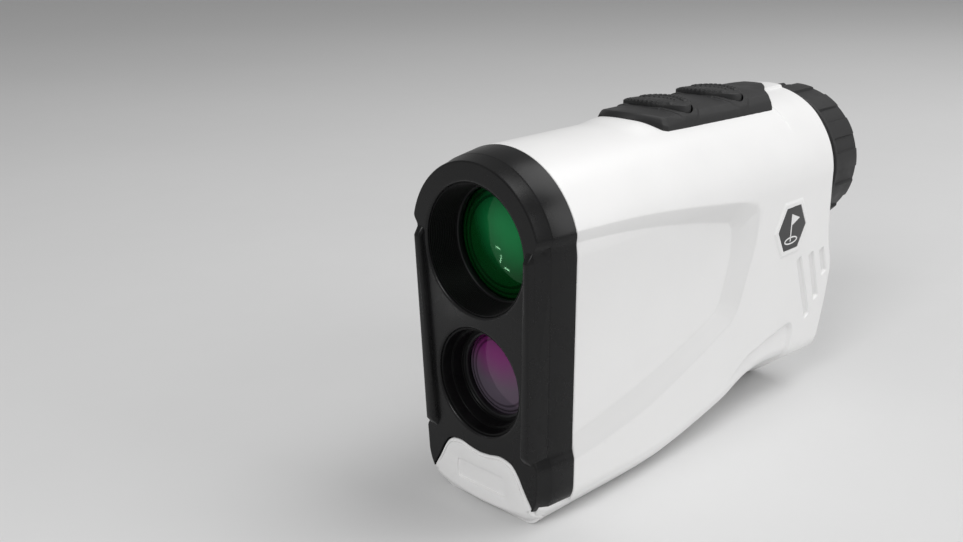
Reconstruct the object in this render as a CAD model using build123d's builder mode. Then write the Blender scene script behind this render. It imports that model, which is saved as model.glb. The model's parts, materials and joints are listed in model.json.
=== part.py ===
"""Handheld laser rangefinder, every piece a solid of its own, at real size in millimetres.

Row frame: X across the body, +Y from the objective end to the eyepiece end, +Z up, and the
origin at the middle of the underside. Distances named "depth" are measured rearwards from the
front face of the bezel, and heights from the surface that the body stands on.
"""
import os
from math import atan2, cos, degrees, radians, sin, sqrt

from build123d import *

# --- driving dimensions -------------------------------------------------------------------
LENGTH = 122.0            # rail crests to eyecup rim
FRONT_REACH = 1.3         # rail crests stand this far ahead of the front face
FACE = FRONT_REACH - LENGTH / 2
WIDTH = 39.0              # body at its widest, behind the bezel
ARCH = WIDTH / 2          # radius of the arched top
AXIS_Z = 56.5             # height of the viewing axis, which is the centre of the arch
EMITTER_Z = 28.6          # height of the laser emitter axis
TAPER = 0.039             # inward lean of the sides, per millimetre below the axis
WALL = 2.0

# --- front end ----------------------------------------------------------------------------
CHAMFER_DEPTH = 3.45      # end of the steep front chamfer
BEZEL_DEPTH = 9.3         # where the bezel meets the housing
BEZEL_FLOOR = 2.0         # lower edge of the bezel, above the white lip of the housing
OBJECTIVE_RIM = 13.5
EMITTER_RIM = 11.5
RECESS = 0.6              # side recess of the bezel, in line with the pocket of the housing
CHIN_WALL = 2.3
DOOR_GAP = 0.25

# --- battery and its door ------------------------------------------------------------------
BATTERY_R = 7.8
BATTERY_LENGTH = 27.0
BATTERY_Z = 10.0
BATTERY_DEPTH = 7.2
HINGE_DEPTH = 39.6
HINGE_Z = 2.0
HINGE_R = 1.7
PIN_R = 0.7

# --- top pad, buttons and their switches ---------------------------------------------------
PAD_SEAT = 18.2           # radius of the seat that the pad lies on
PAD_TOP = 77.9
CAP_CREST = 78.8          # top of a button cap on the middle plane
CAP_END = 78.1            # top of a cap at its two ends
CAP_BOTTOM = 76.3
CAP_LENGTH = 17.0         # across the body
CAP_WIDTH = 10.6          # along the body
CROWN_REACH = 8.5         # where the crown of a cap has run out
RIDGE_RISE = 0.3
TRAVEL = 0.8
BUTTONS = {"front": 58.4, "rear": 78.6}   # depth of each cap's centre
BOARD_TOP = 69.6

# --- eyepiece ------------------------------------------------------------------------------
REAR_DEPTH = 105.8        # rear face of the housing around the eyepiece
RING_R = 18.75
RING_FRONT = 107.6
RING_REAR = 119.5
TUBE_R = 13.6
CELL_R = 12.3
KEY_DEPTH = 111.15
KEY_R = 0.65
RING_LOBES = 14
RING_TURN = 99.2          # angle of one valley of the ring, from the top towards +X
VALLEY_FLOOR = 18.15      # distance of a valley's flat floor from the axis
VALLEY_WIDTH = 4.0

# --- side features -------------------------------------------------------------------------
BADGE_R = 6.15
BADGE_DEPTH = 87.1
BADGE_Z = 45.7
POCKET = 0.8

# Stations of the housing: depth, half width at the axis, floor, half width of the flat
# underside, and height of the top of the corner bevel.
STATIONS = [
    (42.5, ARCH, 0.0, 12.6, 5.2),
    (54.0, ARCH, 0.5, 11.4, 7.2),
    (66.0, ARCH + 0.05, 2.4, 9.4, 9.4),
    (80.0, ARCH + 0.1, 4.4, 7.6, 12.0),
    (91.0, ARCH + 0.15, 2.6, 5.0, 11.4),
    (99.0, ARCH + 0.2, 0.1, 3.4, 10.8),
    (112.0, ARCH + 0.2, 0.0, 3.4, 10.8),
]

# Rear edge of the housing below the eyepiece, as depth and height.
REAR_LINE = [(REAR_DEPTH, 50.0), (106.3, 43.0), (107.1, 37.6), (109.4, 32.0), (109.1, 25.0),
             (107.2, 15.0), (104.6, 6.0), (101.5, 0.0)]


# --- planes, outlines and forms ------------------------------------------------------------
def station(depth):
    """Plane across the body, facing the rear, with its origin on the ground."""
    return Plane(origin=(0, FACE + depth, 0), x_dir=(-1, 0, 0), z_dir=(0, 1, 0))


def meridian(height=0.0):
    """Upright middle plane: local x is depth and local y is height above the given height."""
    return Plane(origin=(0, FACE, height), x_dir=(0, 1, 0), z_dir=(1, 0, 0))


def flank(side, offset=0.0):
    """Plane on one leaning side: local x is depth and local y is height above the axis."""
    plane = Plane(origin=(side * ARCH, FACE, AXIS_Z), x_dir=(0, side, 0), z_dir=(side, 0, -TAPER))
    return plane.offset(offset)


def optical_axis(height=AXIS_Z):
    return Axis((0, FACE, height), (0, 1, 0))


def half_section(points, height=AXIS_Z):
    """Closed outline in depth and radius, ready to be turned about an optical axis."""
    with BuildSketch(meridian(height)) as profile:
        with BuildLine():
            Polyline(*points, close=True)
        make_face()
    return profile.sketch


def side_section(points):
    """Closed outline in depth and height on the middle plane."""
    return half_section(points, 0.0)


def front_outline(depth, half_width, floor, flat, bevel_top):
    """Arched outline of the body at one depth, with bevelled and rounded lower corners."""
    foot = half_width - TAPER * (AXIS_Z - bevel_top)
    with BuildSketch(station(depth)) as profile:
        with BuildLine():
            ThreePointArc((-half_width, AXIS_Z), (0, AXIS_Z + half_width), (half_width, AXIS_Z))
            Polyline((half_width, AXIS_Z), (foot, bevel_top), (flat, floor),
                     (-flat, floor), (-foot, bevel_top), (-half_width, AXIS_Z))
        make_face()
        corners = [v for v in profile.vertices() if v.Y < bevel_top + 0.1]
        fillet(corners, radius=2.6)
    return profile.sketch


def front_form(inset=0.0, floor=0.0):
    """Nose of the body, from the front face to the first station: chamfer, draft and prism."""
    nose = [(0.0, ARCH - 1.5, 1.0), (CHAMFER_DEPTH, ARCH - 0.86, 0.0), (BEZEL_DEPTH, ARCH, 0.0),
            (STATIONS[0][0], ARCH, 0.0)]
    with BuildPart() as form:
        for depth, half_width, lift in nose:
            add(front_outline(depth, half_width - inset, floor + lift + inset,
                              12.6 + 0.4 * floor - inset / 2,
                              5.2 + lift + 0.3 * floor + inset / 2))
        loft(ruled=True)
    return form.part


def rear_form(inset=0.0):
    """Rear of the body: waisted underside, heel, and the leaning rear face."""
    with BuildPart() as form:
        for depth, half_width, floor, flat, bevel_top in STATIONS:
            add(front_outline(depth, half_width - inset, floor + inset, flat - inset / 3,
                              bevel_top + inset / 2))
        loft()
        with BuildSketch(meridian()) as profile:
            with BuildLine():
                Polyline((30, 0), (30, 90), (REAR_DEPTH - inset, 90),
                         (REAR_DEPTH - inset, REAR_LINE[0][1]))
                Spline(*[(depth - inset, height) for depth, height in REAR_LINE])
                Line((REAR_LINE[-1][0] - inset, 0), (30, 0))
            make_face()
        extrude(amount=2 * WIDTH, both=True, mode=Mode.INTERSECT)
    return form.part


def flank_outline(points, side, offset=0.0):
    """Closed outline on a flank, from depths and heights; mirrored on the right-hand side."""
    with BuildSketch(flank(side, offset)) as profile:
        with BuildLine():
            Polyline(*[(side * depth, height - AXIS_Z) for depth, height in points], close=True)
        make_face()
    return profile.sketch


def save(piece, name):
    piece.part.label = name
    export_step(piece.part, f"parts/{name}.step")


os.makedirs("parts", exist_ok=True)

# --- shared forms --------------------------------------------------------------------------
nose_outer = front_form()
nose_inner = front_form(inset=WALL)
rear_outer = rear_form()
rear_inner = rear_form(inset=WALL)
bezel_outer = front_form(floor=BEZEL_FLOOR)

CHIN = [(14.4, -1.0), (14.4, 5.1), (12.4, 8.2), (10.7, 11.2), (7.5, 13.5), (5.1, 13.7),
        (2.6, 13.2), (0.0, 12.9)]


def chin_outline(gap):
    """Outline of the chin of the battery door, grown sideways and upwards by a gap."""
    half = [(x + gap if x else 0.0, z + gap if z > 0 else z) for x, z in CHIN]
    with BuildSketch(station(-5)) as profile:
        with BuildLine():
            Polyline(*half, *[(-x, z) for x, z in half[-2::-1]], close=True)
        make_face()
    return profile.sketch


# --- outlines on the flanks, the top and the underside -------------------------------------
POCKET_RIM = [(5, 62.0), (33.7, 60.7), (61.2, 57.5), (73.0, 55.0), (72.1, 44.9), (65.2, 28.2),
              (33.9, 16.7), (5, 13.6)]
POCKET_FLOOR = [(5, 59.4), (33.7, 57.0), (52.5, 53.6), (62.5, 51.5), (62.8, 43.3), (59.4, 32.4),
                (33.9, 24.4), (5, 19.0)]
SCOOP_RIM = [(66.8, 17.1), (81.8, 19.5), (91.1, 20.4), (92.6, 12.6), (84.0, 10.0)]
GILLS = [((92.5, 36.0), (98.6, 20.6)), ((98.2, 36.0), (102.4, 24.6)), ((103.4, 36.0), (105.4, 30.6))]
GILL_WIDTH = 2.4
GILL_DEPTH = 0.9
PAD_HALF = [(0, 43.0), (4.4, 44.2), (9.5, 49.4), (10.9, 89.8), (5.8, 93.5), (4.0, 96.5), (0, 101.0)]
COVER_HALF_WIDTH = 6.8
COVER_START = 46.5
COVER_END = 88.0
COVER_SCREWS = [(side * 4.4, depth) for side in (-1, 1) for depth in (49.5, 85.0)]
BOARD_SCREWS = [(depth, height) for depth in (50.0, 88.0) for height in (19.5, 35.0)]
BOARD_FACE = -13.4


def plan_outline(points, gap=0.0):
    """Symmetric plan seen from above, from half its points; local y is depth."""
    right = [(x + gap if x else 0.0, y) for x, y in points]
    with BuildSketch(Plane(origin=(0, FACE, 0), x_dir=(1, 0, 0), z_dir=(0, 0, 1))) as profile:
        with BuildLine():
            Polyline(*right, *[(-x, y) for x, y in right[-2:0:-1]], close=True)
        make_face()
    return profile.sketch


def slab(x_range, depth_range, z_range):
    """Upright block between two places across, two depths and two heights."""
    (x0, x1), (d0, d1), (z0, z1) = x_range, depth_range, z_range
    with BuildPart() as block:
        with Locations(((x0 + x1) / 2, FACE + (d0 + d1) / 2, (z0 + z1) / 2)):
            Box(x1 - x0, d1 - d0, z1 - z0)
    return block.part


def cross_rod(radius, x_range, depth, height):
    """Round bar lying across the body."""
    with BuildPart() as rod:
        with BuildSketch(Plane(origin=(x_range[0], FACE + depth, height), z_dir=(1, 0, 0))):
            Circle(radius)
        extrude(amount=x_range[1] - x_range[0])
    return rod.part


def long_rod(radius, place, depth_range):
    """Round bar along the body at a place given as (x, height)."""
    with BuildPart() as rod:
        with BuildSketch(station(depth_range[0])):
            with Locations((-place[0], place[1])):
                Circle(radius)
        extrude(amount=depth_range[1] - depth_range[0])
    return rod.part


def post(radius, place, z_range):
    """Upright round bar at a place given as (x, depth)."""
    with BuildPart() as bar:
        with BuildSketch(Plane(origin=(place[0], FACE + place[1], z_range[0]))):
            Circle(radius)
        extrude(amount=z_range[1] - z_range[0])
    return bar.part


def pocket_tool(side):
    """What the shallow side pocket removes: sloping walls down to a flat floor."""
    with BuildPart() as tool:
        add(flank_outline(POCKET_RIM, side, 0.05))
        add(flank_outline(POCKET_FLOOR, side, -POCKET))
        loft(ruled=True)
        extrude(flank_outline(POCKET_RIM, side, 0.05), amount=2)
    return tool.part


def badge_outline(side, radius, offset):
    with BuildSketch(flank(side, offset)) as profile:
        with Locations((side * BADGE_DEPTH, BADGE_Z - AXIS_Z)):
            RegularPolygon(radius=radius, side_count=6)
    return profile.sketch


def gill_outline(side, offset):
    with BuildSketch(flank(side, offset)) as profile:
        for top, bottom in GILLS:
            start = Vector(side * top[0], top[1] - AXIS_Z)
            run = Vector(side * bottom[0], bottom[1] - AXIS_Z) - start
            middle = start + run * 0.5
            with Locations((middle.X, middle.Y)):
                SlotCenterToCenter(run.length, GILL_WIDTH, rotation=degrees(atan2(run.Y, run.X)))
    return profile.sketch


# --- housing -------------------------------------------------------------------------------
pocket_tools = [pocket_tool(side) for side in (-1, 1)]
scoop_outlines = [flank_outline(SCOOP_RIM, side, 0.0) for side in (-1, 1)]
badge_seats = [badge_outline(side, BADGE_R + 0.05, 0.6) for side in (-1, 1)]
gill_outlines = [gill_outline(side, 1.0) for side in (-1, 1)]
nose_block = slab((-30, 30), (BEZEL_DEPTH, 45), (-5, 90))
lip_block = slab((-30, 30), (1.2, BEZEL_DEPTH), (-5, 6.5))
bay_block = slab((-9.25, 9.25), (-5, 42.1), (-5, 3.2))
chin_block = slab((-14.65, 14.65), (-5, 2.6), (-5, 14))
cover_block = slab((-COVER_HALF_WIDTH, COVER_HALF_WIDTH), (COVER_START, COVER_END), (-5, 9))
pad_plan = plan_outline(PAD_HALF)
pad_cut_plan = plan_outline(PAD_HALF, 0.05)
lug_blocks = [slab(sorted((side * 9.25, side * 13.4)), (37.4, 41.8), (1.0, 4.4)) for side in (-1, 1)]
pin_bore = cross_rod(PIN_R + 0.02, (-11.6, 11.6), HINGE_DEPTH, HINGE_Z)
screw_pads = [post(2.3, place, (1.9, 14.0)) for place in COVER_SCREWS]
screw_ribs = [slab(sorted((x, 4.2 * x)), (d - 0.9, d + 0.9), (1.9, 14.0)) for x, d in COVER_SCREWS]
screw_bores = [post(1.0, place, (-1.0, 13.0)) for place in COVER_SCREWS]
standoffs = [cross_rod(2.0, (-22, BOARD_FACE), d, z) for d, z in BOARD_SCREWS]
standoff_bores = [cross_rod(0.8, (-16.4, BOARD_FACE), d, z) for d, z in BOARD_SCREWS]
inner_cavity = rear_inner + nose_inner
stem_bores = [post(2.3, (0, depth), (68, 80)) for depth in BUTTONS.values()]
EYEPIECE_SCREWS = [(15.4 * sin(radians(a)), AXIS_Z + 15.4 * cos(radians(a))) for a in (60, 180, 300)]
eyepiece_screw_bores = [long_rod(0.85, place, (102.0, 105.2)) for place in EYEPIECE_SCREWS]
eyepiece_bore = long_rod(TUBE_R + 0.05, (0, AXIS_Z), (100, 110))

with BuildPart() as pad_seat:
    extrude(pad_cut_plan, amount=100)
    add(long_rod(PAD_SEAT, (0, AXIS_Z), (20, 130)), mode=Mode.SUBTRACT)
    add(slab((-30, 30), (20, 130), (-5, AXIS_Z)), mode=Mode.SUBTRACT)

with BuildPart() as lip:
    add(nose_outer)
    add(lip_block, mode=Mode.INTERSECT)
    add(bezel_outer, mode=Mode.SUBTRACT)
    add(chin_block, mode=Mode.SUBTRACT)

with BuildPart() as fittings:
    for piece in screw_pads + screw_ribs + standoffs:
        add(piece)
    add(slab((-30, 30), (42, 100), (0, 5.2)), mode=Mode.SUBTRACT)
    add(inner_cavity, mode=Mode.INTERSECT)

with BuildPart() as housing:
    add(nose_outer)
    add(nose_block, mode=Mode.INTERSECT)
    add(rear_outer)
    add(inner_cavity, mode=Mode.SUBTRACT)
    add(lip.part)
    add(fittings.part)
    for piece in lug_blocks:
        add(piece)
    add(cover_block, mode=Mode.SUBTRACT)
    for tool in pocket_tools:
        add(tool, mode=Mode.SUBTRACT)
    add(pad_seat.part, mode=Mode.SUBTRACT)
    for piece in stem_bores + eyepiece_screw_bores + [eyepiece_bore]:
        add(piece, mode=Mode.SUBTRACT)
    for outline in scoop_outlines:
        extrude(outline, amount=-1.0, taper=-20, mode=Mode.SUBTRACT)
    for outline in badge_seats:
        extrude(outline, amount=-1.5, mode=Mode.SUBTRACT)
    for outline in gill_outlines:
        extrude(outline, amount=-1.0 - GILL_DEPTH, mode=Mode.SUBTRACT)
    add(bay_block, mode=Mode.SUBTRACT)
    add(pin_bore, mode=Mode.SUBTRACT)
    for piece in screw_bores + standoff_bores:
        add(piece, mode=Mode.SUBTRACT)
save(housing, "housing")

# --- underside cover and its screws --------------------------------------------------------
cover_room = slab((-COVER_HALF_WIDTH + 0.1, COVER_HALF_WIDTH - 0.1),
                  (COVER_START + 0.1, COVER_END - 0.1), (-5, 9))
HEAD_SEATS = [1.4, 5.2, 1.4, 5.2]
head_pockets = [post(2.0, place, (-1.0, z)) for place, z in zip(COVER_SCREWS, HEAD_SEATS)]

with BuildPart() as bottom_cover:
    add(rear_outer)
    add(rear_inner, mode=Mode.SUBTRACT)
    add(cover_room, mode=Mode.INTERSECT)
    for piece in screw_bores + head_pockets:
        add(piece, mode=Mode.SUBTRACT)
save(bottom_cover, "bottom_cover")


def screw(head_r, shank_r, plane, head, length):
    """Countersunk screw: the head lies on the plane and the shank runs along its normal."""
    with BuildPart() as fastener:
        with BuildSketch(plane):
            Circle(head_r)
        with BuildSketch(plane.offset(head)):
            Circle(shank_r)
        loft()
        with BuildSketch(plane.offset(head)):
            Circle(shank_r)
        extrude(amount=length - head)
        with BuildSketch(plane):
            RegularPolygon(radius=head_r * 0.45, side_count=6)
        extrude(amount=head * 0.6, mode=Mode.SUBTRACT)
    return fastener.part


cover_planes = [Plane(origin=(x, FACE + d, z - 1.0)) for (x, d), z in zip(COVER_SCREWS, HEAD_SEATS)]
with BuildPart() as cover_screws:
    for plane in cover_planes:
        add(screw(1.9, 0.9, plane, 1.0, 6.5))
save(cover_screws, "cover_screws")

# --- bezel ---------------------------------------------------------------------------------
bezel_block = slab((-30, 30), (-5, BEZEL_DEPTH - 0.05), (-5, 90))
bezel_hollow = front_form(inset=WALL, floor=BEZEL_FLOOR)
hollow_block = slab((-30, 30), (2.6, 20), (-5, 90))
with BuildPart() as bezel_cavity:
    add(bezel_hollow)
    add(hollow_block, mode=Mode.INTERSECT)
chin_cut = chin_outline(DOOR_GAP)
bay_in_bezel = slab((-9.5, 9.5), (-5, 20), (-5, 6))


def side_recess(side):
    """Shallow flat along one side of the bezel, with a ramp at each end."""
    deep = RECESS + TAPER * 1.5
    edge = [(30, 4.8), (ARCH + 0.1, 4.8), (ARCH - deep, 2.4), (ARCH - deep - 1.62, -39.8),
            (ARCH - 1.5, -43.6), (30, -43.6)]
    with BuildPart() as tool:
        with BuildSketch(station(-3)):
            with BuildLine():
                Polyline(*[(-side * x, AXIS_Z + z) for x, z in edge], close=True)
            make_face()
        extrude(amount=20)
    return tool.part


def rail(side):
    """Raised strip beside the front face: steep inside, sloping back to the outer edge."""
    ends = [(53.6, 14.9, 16.3, 17.7), (17.0, 12.2, 14.9, 16.4)]
    with BuildPart() as strip:
        for height, inner, crest, outer in ends:
            plane = Plane(origin=(0, FACE, height), x_dir=(1, 0, 0), z_dir=(0, 0, 1))
            with BuildSketch(plane):
                with BuildLine():
                    Polyline(*[(side * x, y) for x, y in ((inner, 0.5), (crest - 0.5, -FRONT_REACH),
                               (crest, -FRONT_REACH), (outer, 3.4), (inner, 3.4))], close=True)
                make_face()
        loft(ruled=True)
    return strip.part


recess_tools = [side_recess(side) for side in (-1, 1)]
rails = [rail(side) for side in (-1, 1)]
collars = [long_rod(OBJECTIVE_RIM + 1.2, (0, AXIS_Z), (1, 8.0)),
           long_rod(EMITTER_RIM + 0.9, (0, EMITTER_Z), (1, 5.0))]
rim_bores = [long_rod(OBJECTIVE_RIM, (0, AXIS_Z), (-5, 20)),
             long_rod(EMITTER_RIM, (0, EMITTER_Z), (-5, 20))]

with BuildPart() as front_bezel:
    add(bezel_outer)
    add(bezel_block, mode=Mode.INTERSECT)
    add(bezel_cavity.part, mode=Mode.SUBTRACT)
    for tool in recess_tools:
        add(tool, mode=Mode.SUBTRACT)
    for piece in rails + collars:
        add(piece)
    for piece in rim_bores + [bay_in_bezel]:
        add(piece, mode=Mode.SUBTRACT)
    extrude(chin_cut, amount=7.6, mode=Mode.SUBTRACT)
save(front_bezel, "front_bezel")

gasket_outer = front_form(inset=WALL + 0.3, floor=BEZEL_FLOOR)
gasket_inner = front_form(inset=WALL + 1.3, floor=BEZEL_FLOOR)
gasket_block = slab((-30, 30), (8.3, 10.8), (20, 90))
with BuildPart() as bezel_gasket:
    add(gasket_outer)
    add(gasket_inner, mode=Mode.SUBTRACT)
    add(gasket_block, mode=Mode.INTERSECT)
save(bezel_gasket, "bezel_gasket")


# --- optics of the objective and of the laser emitter --------------------------------------
def turned(points, height=AXIS_Z):
    """Piece of revolution about an optical axis, from depths and radii."""
    profile = half_section(points, height)
    with BuildPart() as piece:
        revolve(profile, axis=optical_axis(height))
    return piece


def lens(front, edge, radius, bulge_front, bulge_rear, height=AXIS_Z):
    """Lens whose rim runs from one depth to another, with two domed faces."""
    def drop(bulge):
        """How far a dome of this height has fallen at half the lens radius."""
        dome = (radius ** 2 + bulge ** 2) / (2 * bulge)
        return dome - sqrt(dome ** 2 - radius ** 2 / 4)

    top, bottom = front - bulge_front, edge + bulge_rear
    with BuildSketch(meridian(height)) as profile:
        with BuildLine():
            ThreePointArc((top, 0), (top + drop(bulge_front), radius / 2), (front, radius))
            Line((front, radius), (edge, radius))
            ThreePointArc((edge, radius), (bottom - drop(bulge_rear), radius / 2), (bottom, 0))
            Line((bottom, 0), (top, 0))
        make_face()
    with BuildPart() as glass:
        revolve(profile.sketch, axis=optical_axis(height))
    return glass


save(turned([(0.4, 13.35), (0.4, 13.0), (7.6, 11.9), (7.6, 13.35)]), "objective_hood")
save(turned([(8.3, 14.2), (8.3, 12.45), (14.5, 12.45), (14.5, 11.4), (44.0, 9.0), (44.0, 10.2),
             (40.4, 11.0), (40.4, 14.2)]), "objective_barrel")
save(turned([(8.3, 12.4), (8.3, 11.6), (9.4, 11.7), (9.4, 12.4)]), "objective_retainer")
save(lens(9.7, 14.0, 12.4, 1.0, 0.2), "objective_lens")

hood_steps = [(0.4, 11.4), (0.4, 10.9)]
for step in range(4):
    hood_steps += [(1.6 + 1.2 * step, 10.9 - 0.5 * step), (1.6 + 1.2 * step, 10.4 - 0.5 * step)]
hood_steps += [(5.3, hood_steps[-1][1]), (5.3, 11.4)]
save(turned(hood_steps, EMITTER_Z), "emitter_hood")
save(turned([(5.4, 10.2), (5.4, 9.3), (38.0, 9.3), (42.2, 6.0), (42.2, 2.85), (44.2, 2.85),
             (44.2, 7.2), (39.0, 10.2)], EMITTER_Z), "emitter_barrel")
save(turned([(5.6, 9.25), (5.6, 8.7), (6.4, 8.8), (6.4, 9.25)], EMITTER_Z), "emitter_retainer")
save(lens(6.9, 9.6, 9.25, 0.4, 0.6, EMITTER_Z), "emitter_lens")
save(turned([(42.4, 0), (42.4, 2.0), (43.0, 2.8), (46.1, 2.8), (46.1, 0)], EMITTER_Z), "laser_diode")

with BuildPart() as laser_board:
    add(slab((-8, 8), (46.2, 47.2), (21, 36)))
    fillet(laser_board.edges().filter_by(Axis.Y), radius=1.0)
save(laser_board, "laser_board")

frame_outline = front_form(inset=WALL + 0.4)
barrel_bores = [long_rod(14.25, (0, AXIS_Z), (-5, 60)), long_rod(10.25, (0, EMITTER_Z), (-5, 60))]
with BuildPart() as optical_frame:
    add(frame_outline)
    add(slab((-30, 30), (37.8, 39.8), (18.3, 74.3)), mode=Mode.INTERSECT)
    for piece in barrel_bores:
        add(piece, mode=Mode.SUBTRACT)
    add(slab((-9, 9), (39.8, 94), (39.9, 41.5)))
    add(slab((-12, 12), (39.8, 44.5), (39.9, 41.5)))
save(optical_frame, "optical_frame")

# --- prisms, display and receiver ----------------------------------------------------------
with BuildPart() as prism_holder:
    add(slab((-10.5, 10.5), (50, 82), (41.6, 67.4)))
    add(slab((-8.6, 8.6), (51.8, 80.2), (48.4, 70)), mode=Mode.SUBTRACT)
    add(long_rod(7.4, (0, AXIS_Z), (40, 90)), mode=Mode.SUBTRACT)
    add(cross_rod(2.2, (5, 20), 60, AXIS_Z), mode=Mode.SUBTRACT)
save(prism_holder, "prism_holder")

HALF_PENTA = [(52, -8), (52, 8), (58, 8), (70, -4), (66, -8)]
ROOF = [(58.9, 8), (70.9, -4), (66.9, -8), (79.8, -8), (79.8, 8)]
half_penta_profile = half_section(HALF_PENTA)
roof_profile = half_section(ROOF)
with BuildPart() as half_penta_prism:
    extrude(half_penta_profile, amount=8.5, both=True)
save(half_penta_prism, "half_penta_prism")

with BuildPart() as roof_prism:
    extrude(roof_profile, amount=8.5, both=True)
    top_edges = roof_prism.edges().filter_by(Axis.Y).group_by(Axis.Z)[-1]
    chamfer(top_edges, length=3.0)
save(roof_prism, "roof_prism")

with BuildPart() as reticle_display:
    add(slab((-8, 8), (85, 86.2), (48.5, 64.5)))
save(reticle_display, "reticle_display")

with BuildPart() as display_mount:
    add(slab((-10.5, 10.5), (86.3, 87.9), (41.6, 67.0)))
    add(long_rod(7.0, (0, AXIS_Z), (80, 95)), mode=Mode.SUBTRACT)
save(display_mount, "display_mount")
save(turned([(88.0, 10.4), (88.0, 7.0), (89.4, 6.4), (89.4, 10.4)]), "field_stop")

with BuildPart() as receiver_sensor:
    add(cross_rod(2.6, (10.6, 12.0), 60, AXIS_Z))
    add(cross_rod(3.0, (11.5, 12.0), 60, AXIS_Z))
save(receiver_sensor, "receiver_sensor")

with BuildPart() as receiver_board:
    add(slab((12.05, 13.05), (52, 78), (45, 65)))
    fillet(receiver_board.edges().filter_by(Axis.X), radius=1.0)
save(receiver_board, "receiver_board")

# --- main board and haptic motor -----------------------------------------------------------
board_bores = [cross_rod(0.85, (-16, -10), d, z) for d, z in BOARD_SCREWS]
board_planes = [Plane(origin=(BOARD_FACE + 2.05, FACE + d, z), z_dir=(-1, 0, 0)) for d, z in BOARD_SCREWS]
with BuildPart() as main_board:
    add(slab((BOARD_FACE, BOARD_FACE + 1.0), (46, 92), (16, 38.5)))
    fillet(main_board.edges().filter_by(Axis.X), radius=1.2)
    add(slab((BOARD_FACE + 1, BOARD_FACE + 2.2), (60, 72), (22, 34)))
    add(slab((BOARD_FACE + 1, BOARD_FACE + 1.9), (76, 82), (24, 30)))
    for piece in board_bores:
        add(piece, mode=Mode.SUBTRACT)
save(main_board, "main_board")

with BuildPart() as board_screws:
    for plane in board_planes:
        add(screw(1.5, 0.75, plane, 1.0, 4.4))
save(board_screws, "board_screws")

MOTOR_X = 6.0
MOTOR_Z = 25.0
with BuildPart() as motor_can:
    add(long_rod(3.2, (MOTOR_X, MOTOR_Z), (70, 81)))
save(motor_can, "motor_can")

with BuildPart() as motor_clip:
    add(slab((MOTOR_X - 1.2, MOTOR_X + 1.2), (73, 79), (MOTOR_Z + 3.0, 39.85)))
    add(long_rod(4.2, (MOTOR_X, MOTOR_Z), (73, 79)))
    add(long_rod(3.22, (MOTOR_X, MOTOR_Z), (60, 90)), mode=Mode.SUBTRACT)
save(motor_clip, "motor_clip")

with BuildPart() as motor_weight:
    add(long_rod(4.4, (MOTOR_X, MOTOR_Z), (82.0, 86.5)))
    add(slab((0, 12), (80, 90), (MOTOR_Z + 0.8, 40)), mode=Mode.SUBTRACT)
    add(long_rod(1.3, (MOTOR_X, MOTOR_Z), (81.3, 86.5)))
save(motor_weight, "motor_weight")

# --- battery, its bay and its door ---------------------------------------------------------
battery_end = BATTERY_DEPTH + BATTERY_LENGTH
with BuildPart() as battery:
    add(long_rod(BATTERY_R, (0, BATTERY_Z), (BATTERY_DEPTH + 1.0, battery_end)))
    fillet(battery.edges().filter_by(GeomType.CIRCLE), radius=0.5)
    add(long_rod(3.0, (0, BATTERY_Z), (BATTERY_DEPTH, BATTERY_DEPTH + 2.0)))
save(battery, "battery")

with BuildPart() as battery_cradle:
    add(slab((-9.3, 9.3), (5.5, 37.6), (4.3, 17.0)))
    add(slab((-8.3, 8.3), (6.6, 36.4), (0, 20)), mode=Mode.SUBTRACT)
save(battery_cradle, "battery_cradle")


def leaf_contact(seat, tip):
    """Bent contact strip: flat against the end wall, sprung towards the battery."""
    step = 0.25 if tip > seat else -0.25
    profile = side_section([(seat, 5.0), (seat, 15.0), (seat + step, 15.0), (tip, BATTERY_Z),
                            (seat + step, 5.0)])
    with BuildPart() as strip:
        extrude(profile, amount=3.0, both=True)
    return strip


save(leaf_contact(6.65, BATTERY_DEPTH - 0.02), "front_contact")
save(leaf_contact(36.35, battery_end + 0.05), "rear_contact")

door_panel = slab((-9.0, 9.0), (-2, 36.8), (-5, 1.6))
door_arms = [slab(sorted((side * 3.2, side * 8.8)), (36.0, HINGE_DEPTH), (0.0, 1.6)) for side in (-1, 1)]
knuckles = [cross_rod(HINGE_R, sorted((side * 3.2, side * 8.8)), HINGE_DEPTH, HINGE_Z) for side in (-1, 1)]
knuckle_bore = cross_rod(PIN_R + 0.06, (-12, 12), HINGE_DEPTH, HINGE_Z)
chin_plate = chin_outline(0.0)
grip_recess = slab((-7.1, 7.1), (-3, 0.5), (4.9, 9.4))

with BuildPart() as battery_door:
    extrude(chin_plate, amount=5 + CHIN_WALL)
    add(door_panel)
    add(nose_outer, mode=Mode.INTERSECT)
    for piece in door_arms + knuckles:
        add(piece)
    add(grip_recess, mode=Mode.SUBTRACT)
    add(knuckle_bore, mode=Mode.SUBTRACT)
save(battery_door, "battery_door")

with BuildPart() as door_seal:
    add(slab((-8.8, 8.8), (3.2, 36.0), (1.65, 2.05)))
    add(slab((-7.8, 7.8), (4.4, 35.0), (0, 3)), mode=Mode.SUBTRACT)
save(door_seal, "door_seal")

with BuildPart() as door_hinge_pin:
    add(cross_rod(PIN_R, (-11.2, 11.2), HINGE_DEPTH, HINGE_Z))
save(door_hinge_pin, "door_hinge_pin")

# --- top pad and buttons -------------------------------------------------------------------
PAD_CROSS = [(0, PAD_TOP), (5.6, PAD_TOP - 0.5), (8.4, 76.4), (9.9, 74.9), (11.4, 71.8)]
cap_sites = [(0, depth) for depth in BUTTONS.values()]


def cap_outline(depth, gap, height):
    """Oval of one button, lying across the body."""
    with BuildSketch(Plane(origin=(0, FACE + depth, height))) as profile:
        Ellipse(CAP_LENGTH / 2 + gap, CAP_WIDTH / 2 + gap)
    return profile.sketch


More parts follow.
